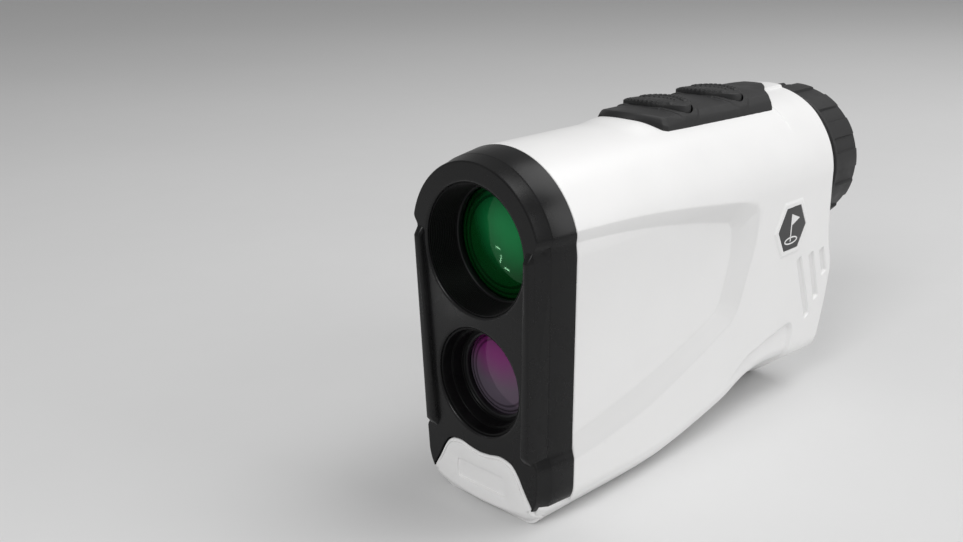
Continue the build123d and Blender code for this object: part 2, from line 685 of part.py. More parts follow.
def crown(x):
    """Height of a cap's top at this distance across: crowned in the middle, level at the ends."""
    share = cos(radians(90 * min(abs(x) / CROWN_REACH, 1)))
    return CAP_END + (CAP_CREST - CAP_END) * share ** 2


well_outlines = [cap_outline(depth, 0.35, CAP_BOTTOM - TRAVEL - 0.3) for depth in BUTTONS.values()]
stem_holes = [post(2.0, site, (60, 90)) for site in cap_sites]
pad_under = long_rod(PAD_SEAT + 0.05, (0, AXIS_Z), (20, 130))
with BuildPart() as pad_ridge:
    with BuildSketch(station(40)):
        with BuildLine():
            Polyline(*PAD_CROSS, (11.4, 60), (-11.4, 60), *[(-x, z) for x, z in PAD_CROSS[:0:-1]],
                     close=True)
        make_face()
    extrude(amount=64)
    rear_slope = side_section([(96, 78.4), (104, 76.0), (104, 90), (96, 90)])
    extrude(rear_slope, amount=30, both=True, mode=Mode.SUBTRACT)

with BuildPart() as top_pad:
    extrude(pad_plan, amount=100)
    add(pad_ridge.part, mode=Mode.INTERSECT)
    add(pad_under, mode=Mode.SUBTRACT)
    for outline in well_outlines:
        extrude(outline, amount=10, mode=Mode.SUBTRACT)
    for piece in stem_holes:
        add(piece, mode=Mode.SUBTRACT)
save(top_pad, "top_pad")

with BuildPart() as cap_crown:
    with BuildSketch(station(45)):
        with BuildLine():
            Spline(*[(x, crown(x)) for x in (-9.5, -7.5, -5.0, -2.5, 0.0, 2.5, 5.0, 7.5, 9.5)])
            Polyline((9.5, CAP_END), (9.5, CAP_BOTTOM), (-9.5, CAP_BOTTOM), (-9.5, CAP_END))
        make_face()
    extrude(amount=45)

for name, depth in BUTTONS.items():
    outline = cap_outline(depth, 0.0, CAP_BOTTOM)
    stem = post(1.6, (0, depth), (73.4, CAP_BOTTOM + 1))
    ridges = [post(0.45, (1.2 * step, depth + side * (4.4 - 0.07 * step * step)),
                   (crown(1.2 * step) - 0.6, crown(1.2 * step) + RIDGE_RISE))
              for side in (-1, 1) for step in range(-4, 5)]
    with BuildPart() as button:
        extrude(outline, amount=5)
        add(cap_crown.part, mode=Mode.INTERSECT)
        add(stem)
        for piece in ridges:
            add(piece)
    save(button, f"{name}_button")
    with BuildPart() as switch_stem:
        add(post(1.2, (0, depth), (71.2, 73.35)))
    save(switch_stem, f"{name}_switch_stem")

with BuildPart() as switch_bases:
    for depth in BUTTONS.values():
        add(slab((-3, 3), (depth - 3, depth + 3), (BOARD_TOP + 0.05, 72.3)))
        add(post(1.28, (0, depth), (70.2, 75)), mode=Mode.SUBTRACT)
save(switch_bases, "switch_bases")

with BuildPart() as button_board:
    add(slab((-7.5, 7.5), (48, 88), (BOARD_TOP - 1.0, BOARD_TOP)))
    fillet(button_board.edges().filter_by(Axis.Z), radius=1.5)
save(button_board, "button_board")

# --- eyepiece ------------------------------------------------------------------------------
key_slot = slab((-0.75, 0.75), (KEY_DEPTH - 2.0, KEY_DEPTH + 2.0), (AXIS_Z + 10, AXIS_Z + 20))
flange_bores = [long_rod(0.85, place, (100, 104)) for place in EYEPIECE_SCREWS]
tube_section = half_section([(90.5, CELL_R), (90.5, TUBE_R), (101.7, TUBE_R), (101.7, 17.0),
                             (103.7, 17.0), (103.7, TUBE_R), (114.2, TUBE_R), (114.2, 13.2),
                             (115.0, 13.2), (115.0, TUBE_R), (115.5, TUBE_R), (115.5, CELL_R)])
with BuildPart() as eyepiece_tube:
    revolve(tube_section, axis=optical_axis())
    for piece in flange_bores + [key_slot]:
        add(piece, mode=Mode.SUBTRACT)
save(eyepiece_tube, "eyepiece_tube")

eyepiece_planes = [Plane(origin=(x, FACE + 100.65, z), z_dir=(0, 1, 0)) for x, z in EYEPIECE_SCREWS]
with BuildPart() as eyepiece_screws:
    for plane in eyepiece_planes:
        add(screw(1.4, 0.8, plane, 1.0, 4.4))
save(eyepiece_screws, "eyepiece_screws")

ring_section = half_section([
    (RING_FRONT, TUBE_R + 0.08), (108.0, TUBE_R + 0.08), (108.0, 14.7), (109.2, 14.7),
    (109.2, 15.7), (113.1, 15.7), (113.1, TUBE_R + 0.08), (114.0, TUBE_R + 0.08), (114.0, 16.8),
    (118.3, 16.8), (RING_REAR, 17.4), (RING_REAR, 18.1), (118.7, RING_R), (108.3, RING_R),
    (RING_FRONT, 18.1)])
with BuildSketch(station(109.3)) as valleys:
    with Locations((0, AXIS_Z)):
        with PolarLocations(VALLEY_FLOOR + 1, RING_LOBES, start_angle=90 + RING_TURN):
            Rectangle(2, VALLEY_WIDTH)
with BuildPart() as diopter_ring:
    revolve(ring_section, axis=optical_axis())
    extrude(valleys.sketch, amount=16, mode=Mode.SUBTRACT)
save(diopter_ring, "diopter_ring")


def o_ring(depth, radius, thickness):
    with BuildSketch(meridian(AXIS_Z)) as profile:
        with Locations((depth, radius)):
            Circle(thickness / 2)
    with BuildPart() as ring:
        revolve(profile.sketch, axis=optical_axis())
    return ring


save(o_ring(108.6, 14.14, 0.96), "ring_seal")

clip_section = half_section([(114.25, 13.25), (114.95, 13.25), (114.95, 14.7), (114.25, 14.7)])
clip_gap = slab((-3, 3), (110, 120), (AXIS_Z - 20, AXIS_Z - 5))
with BuildPart() as ring_clip:
    revolve(clip_section, axis=optical_axis())
    add(clip_gap, mode=Mode.SUBTRACT)
save(ring_clip, "ring_clip")

key_bore = post(KEY_R + 0.02, (0, KEY_DEPTH), (AXIS_Z + 11.4, AXIS_Z + 13))
cell_section = half_section([
    (97.0, 9.4), (97.0, CELL_R - 0.06), (116.9, CELL_R - 0.06), (116.9, 15.0), (118.2, 15.0),
    (118.2, 11.2), (115.2, 10.9), (115.2, 10.5), (110.0, 10.5), (108.0, 9.4)])
with BuildPart() as ocular_cell:
    revolve(cell_section, axis=optical_axis())
    add(key_bore, mode=Mode.SUBTRACT)
save(ocular_cell, "ocular_cell")

with BuildPart() as focus_key:
    add(post(KEY_R, (0, KEY_DEPTH), (AXIS_Z + 11.45, AXIS_Z + 15.2)))
save(focus_key, "focus_key")
save(lens(99.5, 101.5, 9.35, 0.9, 1.0), "field_lens")
save(lens(110.6, 114.4, 10.45, 0.4, 1.2), "eye_lens")
save(turned([(115.9, 15.1), (115.9, 16.0), (119.5, 16.0), (LENGTH - FRONT_REACH, 15.2),
             (LENGTH - FRONT_REACH, 12.6), (119.9, 12.0), (118.3, 11.6), (118.3, 15.1)]), "eyecup")

# --- side badges ---------------------------------------------------------------------------
for side, name in ((1, "left_badge"), (-1, "right_badge")):
    plate = badge_outline(side, BADGE_R - 0.05, -0.85)
    with BuildPart() as badge:
        extrude(plate, amount=0.8)
    save(badge, name)
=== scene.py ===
"""Looks of the handheld laser rangefinder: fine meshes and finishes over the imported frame.

Design coordinates are (x across, depth from the bezel's front face, z up) in millimetres.
row() turns them into the frame's metres.
"""
import json
from math import cos, pi, radians, sin

import bmesh
import bpy
import numpy as np
from mathutils import Matrix, Vector


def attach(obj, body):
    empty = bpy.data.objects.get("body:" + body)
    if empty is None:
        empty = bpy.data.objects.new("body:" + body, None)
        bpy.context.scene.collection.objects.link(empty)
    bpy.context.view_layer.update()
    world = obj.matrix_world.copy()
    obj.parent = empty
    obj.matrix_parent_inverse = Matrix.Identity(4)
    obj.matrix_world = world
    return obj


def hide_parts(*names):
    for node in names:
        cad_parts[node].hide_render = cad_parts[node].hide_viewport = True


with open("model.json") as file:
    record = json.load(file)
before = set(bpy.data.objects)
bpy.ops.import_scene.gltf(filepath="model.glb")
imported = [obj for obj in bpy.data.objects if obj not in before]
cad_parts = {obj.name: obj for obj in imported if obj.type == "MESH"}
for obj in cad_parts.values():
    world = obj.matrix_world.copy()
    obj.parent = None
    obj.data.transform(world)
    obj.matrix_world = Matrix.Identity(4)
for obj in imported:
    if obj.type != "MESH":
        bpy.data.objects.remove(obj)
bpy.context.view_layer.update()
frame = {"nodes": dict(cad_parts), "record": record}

FACE = 59.7                                  # bezel's front face to the frame's origin
AXIS = 56.5                                  # height of the viewing optics and the eyepiece
EMITTER = 28.6                               # height of the laser emitter
TAPER = 0.039                                # how far the flanks lean in per mm of drop
BUTTONS = {"front": 58.4, "rear": 78.6}      # depth of each button's middle
BUTTON_HALF = (8.5, 5.3)                     # half width and half length of a button
WINDOW_HALF, WINDOW_ENDS = 6.8, (46.5, 88.0)  # opening for the underside cover
COVER_GAP = 0.1
BAY_U, BAY_END = 93.909, 42.1                # battery bay: outline position and rear end
EYE = (0.1421, -0.1930, 0.1152)              # camera's place, in metres


# --- curves and meshes ---------------------------------------------------------------------
def row(points):
    """Design millimetres to metres in the frame."""
    return (np.asarray(points, float).reshape(-1, 3) - (0, FACE, 0)) * 0.001


def smooth(x, xs, ys):
    """Smooth curve through the points (xs, ys), level beyond its ends."""
    xs, ys = np.asarray(xs, float), np.asarray(ys, float)
    slope = np.gradient(ys, xs)
    i = np.clip(np.searchsorted(xs, x) - 1, 0, len(xs) - 2)
    span = xs[i + 1] - xs[i]
    t = np.clip((x - xs[i]) / span, 0, 1)
    start = (2 * t ** 3 - 3 * t ** 2 + 1) * ys[i] + (t ** 3 - 2 * t ** 2 + t) * span * slope[i]
    return start + (3 * t ** 2 - 2 * t ** 3) * ys[i + 1] + (t ** 3 - t ** 2) * span * slope[i + 1]


def ease(t):
    """0 to 1 with level ends."""
    t = np.clip(t, 0, 1)
    return t * t * (3 - 2 * t)


def through(points, steps=6):
    """Smooth open curve through points."""
    points = np.asarray(points, float)
    at = np.arange(len(points))
    fine = np.linspace(0, len(points) - 1, steps * (len(points) - 1) + 1)
    return np.stack([smooth(fine, at, points[:, k]) for k in range(points.shape[1])], 1)


def rounded(points, cut, steps=4, closed=True):
    """Polyline with each corner rounded over the distance cut."""
    points = np.asarray(points, float)
    out = []
    count = len(points)
    for i in range(count):
        if not closed and i in (0, count - 1):
            out.append(points[i])
            continue
        before, here, after = points[i - 1], points[i], points[(i + 1) % count]
        reach = min(cut, np.linalg.norm(before - here) / 2, np.linalg.norm(after - here) / 2)
        a = here + (before - here) / np.linalg.norm(before - here) * reach
        b = here + (after - here) / np.linalg.norm(after - here) * reach
        for t in np.linspace(0, 1, steps + 1):
            out.append((1 - t) ** 2 * a + 2 * t * (1 - t) * here + t * t * b)
    return np.array(out)


def inset(loop, amount):
    """Closed flat loop, drawn anticlockwise, moved inwards."""
    before, after = np.roll(loop, 1, 0), np.roll(loop, -1, 0)
    run = after - before
    run /= np.linalg.norm(run, axis=1)[:, None] + 1e-12
    return loop + np.stack([-run[:, 1], run[:, 0]], 1) * amount


def area(loop):
    """Signed area of a closed flat loop, positive when drawn anticlockwise."""
    x, y = loop[:, 0], loop[:, 1]
    return 0.5 * np.sum(x * np.roll(y, -1) - y * np.roll(x, -1))


def inside(px, pz, loop):
    """Signed distance to a closed loop, positive inside it."""
    px, pz = np.asarray(px, float), np.asarray(pz, float)
    best = np.full(px.shape, 1e9)
    odd = np.zeros(px.shape, bool)
    for (ax, az), (bx, bz) in zip(loop, np.roll(loop, -1, 0)):
        ex, ez = bx - ax, bz - az
        size = ex * ex + ez * ez
        if size < 1e-12:
            continue
        t = np.clip(((px - ax) * ex + (pz - az) * ez) / size, 0, 1)
        best = np.minimum(best, (px - ax - t * ex) ** 2 + (pz - az - t * ez) ** 2)
        if az != bz:
            odd ^= ((az > pz) != (bz > pz)) & (px < ax + (pz - az) * ex / ez)
    return np.where(odd, 1, -1) * np.sqrt(best)


def skin(surface, us, vs, tolerance=0.006, levels=3, keep=None):
    """Mesh over a (u, v) grid, divided where the surface bends; keep(u, v) drops base cells."""
    full = 2 ** levels
    us, vs = np.asarray(us, float), np.asarray(vs, float)

    def place(i, j):
        u = np.interp(np.asarray(i) / full, np.arange(len(us)), us)
        v = np.interp(np.asarray(j) / full, np.arange(len(vs)), vs)
        return surface(u, v)

    i, j = np.meshgrid(np.arange(len(us) - 1), np.arange(len(vs) - 1), indexing="ij")
    i, j = i.ravel(), j.ravel()
    if keep is not None:
        wanted = keep((us[i] + us[i + 1]) / 2, (vs[j] + vs[j + 1]) / 2)
        i, j = i[wanted], j[wanted]
    cells = np.stack([i * full, j * full], 1)
    leaves = []
    size = full
    share = np.linspace(0, 1, 5)
    n = len(share)
    a, b = (m.ravel() for m in np.meshgrid(share, share, indexing="ij"))
    weights = [w[None, :, None] for w in ((1 - a) * (1 - b), (1 - a) * b, a * (1 - b), a * b)]
    while size > 1 and len(cells):
        p = place(cells[:, :1] + a * size, cells[:, 1:] + b * size)
        corners = [p[:, k][:, None] for k in (0, n - 1, -n, -1)]
        flat = sum(corner * weight for corner, weight in zip(corners, weights))
        split = np.linalg.norm(p - flat, axis=2).max(1) > tolerance
        leaves += [(c[0], c[1], size) for c in cells[~split]]
        rest = cells[split]
        size //= 2
        cells = np.concatenate([rest + (da * size, db * size)
                                for da in (0, 1) for db in (0, 1)])
    leaves += [(c[0], c[1], size) for c in cells]

    index = {}
    for x, y, s in leaves:
        for corner in ((x, y), (x + s, y), (x + s, y + s), (x, y + s)):
            index.setdefault(corner, len(index))

    def between(first, last):
        """Corners of smaller neighbours that lie on one edge."""
        if abs(first[0] - last[0]) + abs(first[1] - last[1]) < 2:
            return []
        middle = ((first[0] + last[0]) // 2, (first[1] + last[1]) // 2)
        if middle not in index:
            return []
        return between(first, middle) + [index[middle]] + between(middle, last)

    faces = []
    for x, y, s in leaves:
        corners = [(x, y), (x + s, y), (x + s, y + s), (x, y + s)]
        face = []
        for first, last in zip(corners, corners[1:] + corners[:1]):
            face.append(index[first])
            if s > 1:
                face += between(first, last)
        faces.append(face)
    at = np.array(list(index))
    return place(at[:, 0], at[:, 1]), faces


def stack(loops, caps=(False, False)):
    """Quads between closed loops of the same length; caps closes the first and last loop."""
    loops = [np.asarray(loop, float) for loop in loops]
    n = len(loops[0])
    faces = []
    for k in range(len(loops) - 1):
        for i in range(n):
            j = (i + 1) % n
            faces.append([k * n + i, k * n + j, (k + 1) * n + j, (k + 1) * n + i])
    if caps[0]:
        faces.append(list(range(n))[::-1])
    if caps[1]:
        faces.append([(len(loops) - 1) * n + i for i in range(n)])
    return np.concatenate(loops), faces


def turned(profile, height=AXIS, segments=160):
    """Surface of revolution about an optical axis from (depth, radius) points."""
    angle = np.linspace(0, 2 * pi, segments, endpoint=False)
    return stack([np.stack([r * np.sin(angle), np.full(segments, d), height + r * np.cos(angle)], 1)
                  for d, r in ((d, max(r, 1e-4)) for d, r in profile)])


def taken(bm):
    """Points and faces out of a finished bmesh."""
    bm.verts.index_update()
    points = np.array([v.co[:] for v in bm.verts])
    faces = [[v.index for v in f.verts] for f in bm.faces]
    bm.free()
    return points, faces


def filled(loops, lift):
    """Flat filling between an outer loop and its holes; lift makes 3-D points from a loop."""
    bm = bmesh.new()
    for loop in loops:
        verts = [bm.verts.new(p) for p in lift(np.asarray(loop, float))]
        for first, last in zip(verts, verts[1:] + verts[:1]):
            bm.edges.new((first, last))
    bmesh.ops.triangle_fill(bm, edges=bm.edges[:], use_beauty=True, use_dissolve=False)
    return taken(bm)


def block(low, high, edge=0.3, segments=3):
    """Box with rounded edges."""
    bm = bmesh.new()
    bmesh.ops.create_cube(bm, size=1)
    low, high = np.array(low, float), np.array(high, float)
    for v in bm.verts:
        v.co = Vector(low + (np.array(v.co[:]) + 0.5) * (high - low))
    bmesh.ops.bevel(bm, geom=bm.edges[:], offset=edge, segments=segments, profile=0.5,
                    affect="EDGES")
    return taken(bm)


def joined(*parts):
    """Several (points, faces) parts as one."""
    points, faces, base = [], [], 0
    for p, f in parts:
        points.append(np.asarray(p, float))
        faces += [[i + base for i in face] for face in f]
        base += len(p)
    return np.concatenate(points), faces


def mirrored(part):
    """The same part on the other side of the body."""
    points, faces = part
    return np.asarray(points) * (-1, 1, 1), [face[::-1] for face in faces]


def piece(name, part, look, body, replaced=(), crease=34, shape=None):
    """Visible object from design points and faces, riding on a body of the frame."""
    points, faces = part
    mesh = bpy.data.meshes.new(name)
    mesh.from_pydata(row(points).tolist(), [], [list(map(int, f)) for f in faces])
    bm = bmesh.new()
    bm.from_mesh(mesh)
    bmesh.ops.remove_doubles(bm, verts=bm.verts, dist=2e-6)
    bmesh.ops.dissolve_degenerate(bm, edges=bm.edges, dist=1e-7)
    if shape:
        shape(bm)
    bmesh.ops.recalc_face_normals(bm, faces=bm.faces)
    bm.to_mesh(mesh)
    bm.free()
    mesh.shade_smooth()
    if crease:
        mesh.set_sharp_from_angle(angle=radians(crease))
    mesh.materials.append(look)
    thing = bpy.data.objects.new(name, mesh)
    bpy.context.scene.collection.objects.link(thing)
    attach(thing, body)
    if replaced:
        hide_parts(*replaced)
    return thing


# --- finishes ------------------------------------------------------------------------------
COLOUR_A, COLOUR_B, COLOUR_OUT = 6, 7, 2     # sockets of a Mix node that mixes colours


def blank(name):
    """New material: itself, its nodes, its links and its shader."""
    look = bpy.data.materials.new(name)
    look.use_nodes = True
    nodes = look.node_tree.nodes
    return look, nodes, look.node_tree.links, nodes["Principled BSDF"]


def add(nodes, kind, settings=(), **values):
    """Node with its input values; settings are its own properties."""
    node = nodes.new("ShaderNode" + kind)
    for key, value in dict(settings).items():
        setattr(node, key, value)
    for key, value in values.items():
        node.inputs[key.replace("_", " ")].default_value = value
    return node


def mixed(nodes, first=None, second=None, factor=None, blend="MIX"):
    """Colour mix of two opaque colours."""
    node = add(nodes, "Mix", {"data_type": "RGBA", "blend_type": blend})
    for socket, value in ((COLOUR_A, first), (COLOUR_B, second)):
        if value:
            node.inputs[socket].default_value = (*value, 1)
    if factor is not None:
        node.inputs[0].default_value = factor
    return node


def maths(nodes, operation, second, kind="Math"):
    """Math node with its second operand."""
    node = add(nodes, kind, {"operation": operation})
    node.inputs[1].default_value = second
    return node


def finish(name, dark, light, rough, patch=90, grain=1800, bump=0.25, height=0.00004, **sockets):
    """Moulded or machined surface: mottled colour, uneven gloss and a fine grain."""
    look, nodes, links, shader = blank(name)
    place = add(nodes, "TexCoord")
    broad = add(nodes, "TexNoise", Scale=patch, Detail=4)
    fine = add(nodes, "TexNoise", Scale=grain, Detail=3)
    tint = mixed(nodes, dark, light)
    blur = maths(nodes, "MULTIPLY_ADD", 0.35)
    gloss = add(nodes, "MapRange", From_Min=0.3, From_Max=0.7, To_Min=rough[0], To_Max=rough[1])
    relief = add(nodes, "Bump", Strength=bump, Distance=height)
    for texture in (broad, fine):
        links.new(place.outputs["Object"], texture.inputs["Vector"])
    links.new(fine.outputs["Fac"], blur.inputs[0])
    links.new(broad.outputs["Fac"], blur.inputs[2])
    links.new(blur.outputs["Value"], tint.inputs[0])
    links.new(tint.outputs[COLOUR_OUT], shader.inputs["Base Color"])
    links.new(broad.outputs["Fac"], gloss.inputs["Value"])
    links.new(gloss.outputs["Result"], shader.inputs["Roughness"])
    links.new(fine.outputs["Fac"], relief.inputs["Height"])
    links.new(relief.outputs["Normal"], shader.inputs["Normal"])
    for socket, value in sockets.items():
        shader.inputs[socket.replace("_", " ")].default_value = value
    return look


def shaded(look, amount):
    """Adds a painted grey shade where the mesh attribute "shade" asks for it."""
    nodes, links = look.node_tree.nodes, look.node_tree.links
    shader = nodes["Principled BSDF"]
    layer = add(nodes, "Attribute", {"attribute_name": "shade"})
    share = maths(nodes, "MULTIPLY", amount)
    # grey of the painted shade
    tint = mixed(nodes, second=(0.30, 0.30, 0.30))
    before = shader.inputs["Base Color"].links[0].from_socket
    links.new(layer.outputs["Fac"], share.inputs[0])
    links.new(share.outputs["Value"], tint.inputs[0])
    links.new(before, tint.inputs[COLOUR_A])
    links.new(tint.outputs[COLOUR_OUT], shader.inputs["Base Color"])
    return look


def grey(value, warm=0.0):
    """Grey colour, a little towards red when warm."""
    return (value * (1 + warm), value, value * (1 - warm))


SHELL = finish("white_abs", grey(0.80, 0.004), grey(0.84, 0.004), (0.34, 0.44), patch=60,
               grain=2200, bump=0.10, Coat_Weight=0.12, Coat_Roughness=0.25)
# painted shade in the side pocket of the white shell
shaded(SHELL, 0.17)
BEZEL = finish("black_abs", (0.0050, 0.0050, 0.0052), (0.0085, 0.0085, 0.0088), (0.22, 0.32),
               patch=140, grain=2600, bump=0.10, Specular_IOR_Level=0.24)
RUBBER = finish("soft_black", (0.011, 0.011, 0.0114), (0.020, 0.020, 0.0205), (0.42, 0.58),
                patch=220, grain=3200, bump=0.30, Specular_IOR_Level=0.30)
SEAL = finish("seal_rubber", (0.012, 0.012, 0.013), (0.022, 0.022, 0.023), (0.60, 0.78), patch=260,
              grain=2400, bump=0.4)
ANODISED = finish("anodised_black", (0.006, 0.006, 0.007), (0.012, 0.012, 0.013), (0.30, 0.48),
                  patch=300, grain=4200, bump=0.2, Metallic=0.35)
MATT = finish("baffle_black", (0.0018, 0.0018, 0.0019), (0.0036, 0.0036, 0.0038), (0.34, 0.50),
              patch=300, grain=3600, bump=0.15, Specular_IOR_Level=0.14)
FRAME = finish("frame_plastic", (0.020, 0.021, 0.024), (0.034, 0.035, 0.038), (0.45, 0.6),
               patch=200, grain=2500)
STEEL = finish("steel", (0.50, 0.50, 0.49), (0.66, 0.66, 0.65), (0.20, 0.36), patch=500, grain=5200,
               bump=0.15, Metallic=1.0)
BRASS = finish("contact_brass", (0.60, 0.44, 0.20), (0.78, 0.60, 0.32), (0.22, 0.38), patch=500,
               grain=4200, bump=0.15, Metallic=1.0)
BOARD = finish("board_green", (0.010, 0.075, 0.030), (0.020, 0.115, 0.050), (0.30, 0.44), patch=900,
               grain=3800, bump=0.2)
SWITCH = finish("switch_black", (0.010, 0.010, 0.011), (0.018, 0.018, 0.019), (0.35, 0.5),
                patch=400, grain=3200)
WRAP = finish("battery_wrap", (0.030, 0.032, 0.040), (0.062, 0.066, 0.080), (0.26, 0.36), patch=260,
              grain=2200, bump=0.1, Coat_Weight=0.4)
PLATE = finish("badge_black", (0.016, 0.016, 0.017), (0.024, 0.024, 0.025), (0.28, 0.38), patch=500,
               grain=3600, bump=0.15)
PRINT = finish("badge_print", grey(0.74), grey(0.82), (0.34, 0.46), patch=500, grain=3600, bump=0.1)


# Light and dark rings of a lens cell seen through the glass: share of the radius, brightness
CELL_RINGS = ((0.74, 1.0), (0.76, 0.45), (0.79, 0.40), (0.81, 0.9), (0.86, 0.7), (0.875, 0.25),
              (0.90, 0.30), (0.915, 0.85), (0.95, 0.6), (0.965, 0.15))


def lens_with_painted_glow(name, deep, glow_colour, sheen, gloss, centre, reach, rings):
    """Coated glass with a painted glow: brightest at centre, deeper beyond reach, over the rings of
    its cell.

    rings says how far below the centre the optical axis is, and the radius of the last ring.
    """
    look, nodes, links, shader = blank(name)
    place = add(nodes, "TexCoord")
    away = maths(nodes, "DISTANCE", row([centre])[0], "VectorMath")
    glow_falloff = add(nodes, "MapRange", {"interpolation_type": "SMOOTHSTEP"},
               From_Min=reach[0] * 0.001, From_Max=reach[1] * 0.001)
    cloud = add(nodes, "TexNoise", Scale=160, Detail=2)
    shift = maths(nodes, "MULTIPLY_ADD", 0.25)
    # painted glow: the brighter colour at the centre point, fading to the deep colour beyond reach
    tint = mixed(nodes, glow_colour, deep)
    haze = add(nodes, "MapRange", To_Min=gloss[0], To_Max=gloss[1])
    links.new(place.outputs["Object"], away.inputs[0])
    links.new(place.outputs["Object"], cloud.inputs["Vector"])
    links.new(away.outputs["Value"], glow_falloff.inputs["Value"])
    links.new(cloud.outputs["Fac"], shift.inputs[0])
    links.new(glow_falloff.outputs["Result"], shift.inputs[2])
    links.new(shift.outputs["Value"], tint.inputs[0])
    flatten = maths(nodes, "MULTIPLY", (1, 0, 1), "VectorMath")
    axis = (0, 0, centre[2] * 0.001 - rings[0] * 0.001)
    radius = maths(nodes, "DISTANCE", axis, "VectorMath")
    cell = add(nodes, "ValToRGB")
    stops = cell.color_ramp.elements
    stops[0].position, stops[0].color = 0.0, (1, 1, 1, 1)
    stops[1].position, stops[1].color = 1.0, (0.1, 0.1, 0.1, 1)
    for position, value in CELL_RINGS:
        stop = stops.new(position)
        stop.color = (value, value, value, 1)
    within = maths(nodes, "MULTIPLY", 1000 / rings[1])
    ringed = mixed(nodes, factor=1.0, blend="MULTIPLY")
    links.new(place.outputs["Object"], flatten.inputs[0])
    links.new(flatten.outputs["Vector"], radius.inputs[0])
    links.new(radius.outputs["Value"], within.inputs[0])
    links.new(within.outputs["Value"], cell.inputs["Fac"])
    links.new(tint.outputs[COLOUR_OUT], ringed.inputs[COLOUR_A])
    links.new(cell.outputs["Color"], ringed.inputs[COLOUR_B])
    links.new(ringed.outputs[COLOUR_OUT], shader.inputs["Base Color"])
    links.new(cloud.outputs["Fac"], haze.inputs["Value"])
    links.new(haze.outputs["Result"], shader.inputs["Roughness"])
    shader.inputs["Transmission Weight"].default_value = 0.25
    shader.inputs["IOR"].default_value = 1.5
    shader.inputs["Specular Tint"].default_value = (*sheen, 1)
    return look


# each lens carries a painted glow round the given centre point
GREEN = lens_with_painted_glow("objective_coating_painted_glow", (0.002, 0.050, 0.009), (0.014, 0.270, 0.080),
                    (0.08, 0.60, 0.20), (0.02, 0.06), (3.5, 8.0, AXIS + 5.0), (2, 15), (5.0, 12.3))
VIOLET = lens_with_painted_glow("emitter_coating_painted_glow", (0.130, 0.105, 0.140), (0.230, 0.006, 0.170),
                     (0.65, 0.25, 0.55), (0.03, 0.08), (-1.0, 6.0, EMITTER + 8.5), (3, 15),
                     (8.5, 9.4))
OCULAR = lens_with_painted_glow("ocular_coating_painted_glow", (0.004, 0.010, 0.016), (0.030, 0.020, 0.075),
                     (0.45, 0.5, 0.9), (0.01, 0.04), (-4.0, 116.0, AXIS + 6.0), (2, 14),
                     (6.0, 10.6))
CLEAR = finish("clear_glass", (0.86, 0.92, 0.90), (0.92, 0.96, 0.95), (0.01, 0.04), patch=200,
               grain=900, bump=0.0, Transmission_Weight=1.0, IOR=1.52)

CARRIED = {
    "anodised_black": ANODISED, "frame_plastic": FRAME, "steel": STEEL, "contact_brass": BRASS,
    "board_green": BOARD, "switch_black": SWITCH, "battery_wrap": WRAP, "clear_glass": CLEAR,
    "seal_rubber": SEAL, "white_shell": SHELL, "bezel_black": BEZEL, "soft_black": RUBBER,
    "badge_black": PLATE, "objective_glass": GREEN, "emitter_glass": VIOLET,
}
for part in frame["record"]["subparts"]:
    thing = frame["nodes"].get(part["node"])
    if thing is None:
        continue
    if not thing.data.materials:
        thing.data.materials.append(None)
    for k in range(len(thing.material_slots)):
        thing.material_slots[k].material = CARRIED[part["material_slot"]]

# --- housing -------------------------------------------------------------------------------
DEPTHS = [9.3, 42.5, 54.0, 66.0, 80.0, 91.0, 99.0, 112.0]
HALVES = [19.5, 19.5, 19.5, 19.55, 19.6, 19.65, 19.7, 19.7]
FLOORS = [0.0, 0.0, 0.5, 2.4, 4.4, 2.6, 0.1, 0.0]
FLATS = [12.6, 12.6, 11.4, 9.4, 7.6, 5.0, 3.4, 3.4]
BEVELS = [5.2, 5.2, 7.2, 9.4, 12.0, 11.4, 10.8, 10.8]


def sizes(depth):
    """Half width, floor height, half width of the flat and height of its bevel, at a depth."""
    return [np.maximum(smooth(depth, DEPTHS, values), 0.0)
            for values in (HALVES, FLOORS, FLATS, BEVELS)]


def outline(u, half, floor, flat, bevel):
    """Point of the arched outline, u of about a millimetre each from the crest downwards."""
    foot = half - TAPER * (AXIS - bevel)
    side = np.hypot(half - foot, AXIS - bevel)
    slant = np.hypot(foot - flat, bevel - floor)
    high, low = 2.4, 1.6
    sx, sz = foot + (half - foot) * high / side, bevel + (AXIS - bevel) * high / side
    tx, tz = foot + (flat - foot) * high / slant, bevel + (floor - bevel) * high / slant
    qx, qz = flat + (foot - flat) * low / slant, floor + (bevel - floor) * low / slant
    vx, vz = flat - low, floor

    def bow(a, b, c, t):
        return (1 - t) ** 2 * a + 2 * t * (1 - t) * b + t * t * c

    turn = np.clip(u, 0, 30) / 30 * pi / 2
    k = [(u - 30) / 50, (u - 80) / 4, (u - 84) / 4, (u - 88) / 4, (u - 92) / 12]
    zones = [u <= 30, u <= 80, u <= 84, u <= 88, u <= 92]
    x = np.select(zones, [half * np.sin(turn), half + (sx - half) * k[0], bow(sx, foot, tx, k[1]),
                          tx + (qx - tx) * k[2], bow(qx, flat, vx, k[3])], vx * (1 - k[4]))
    z = np.select(zones, [AXIS + half * np.cos(turn), AXIS + (sz - AXIS) * k[0],
                          bow(sz, bevel, tz, k[1]), tz + (qz - tz) * k[2],
                          bow(qz, floor, vz, k[3])], vz)
    return x, z


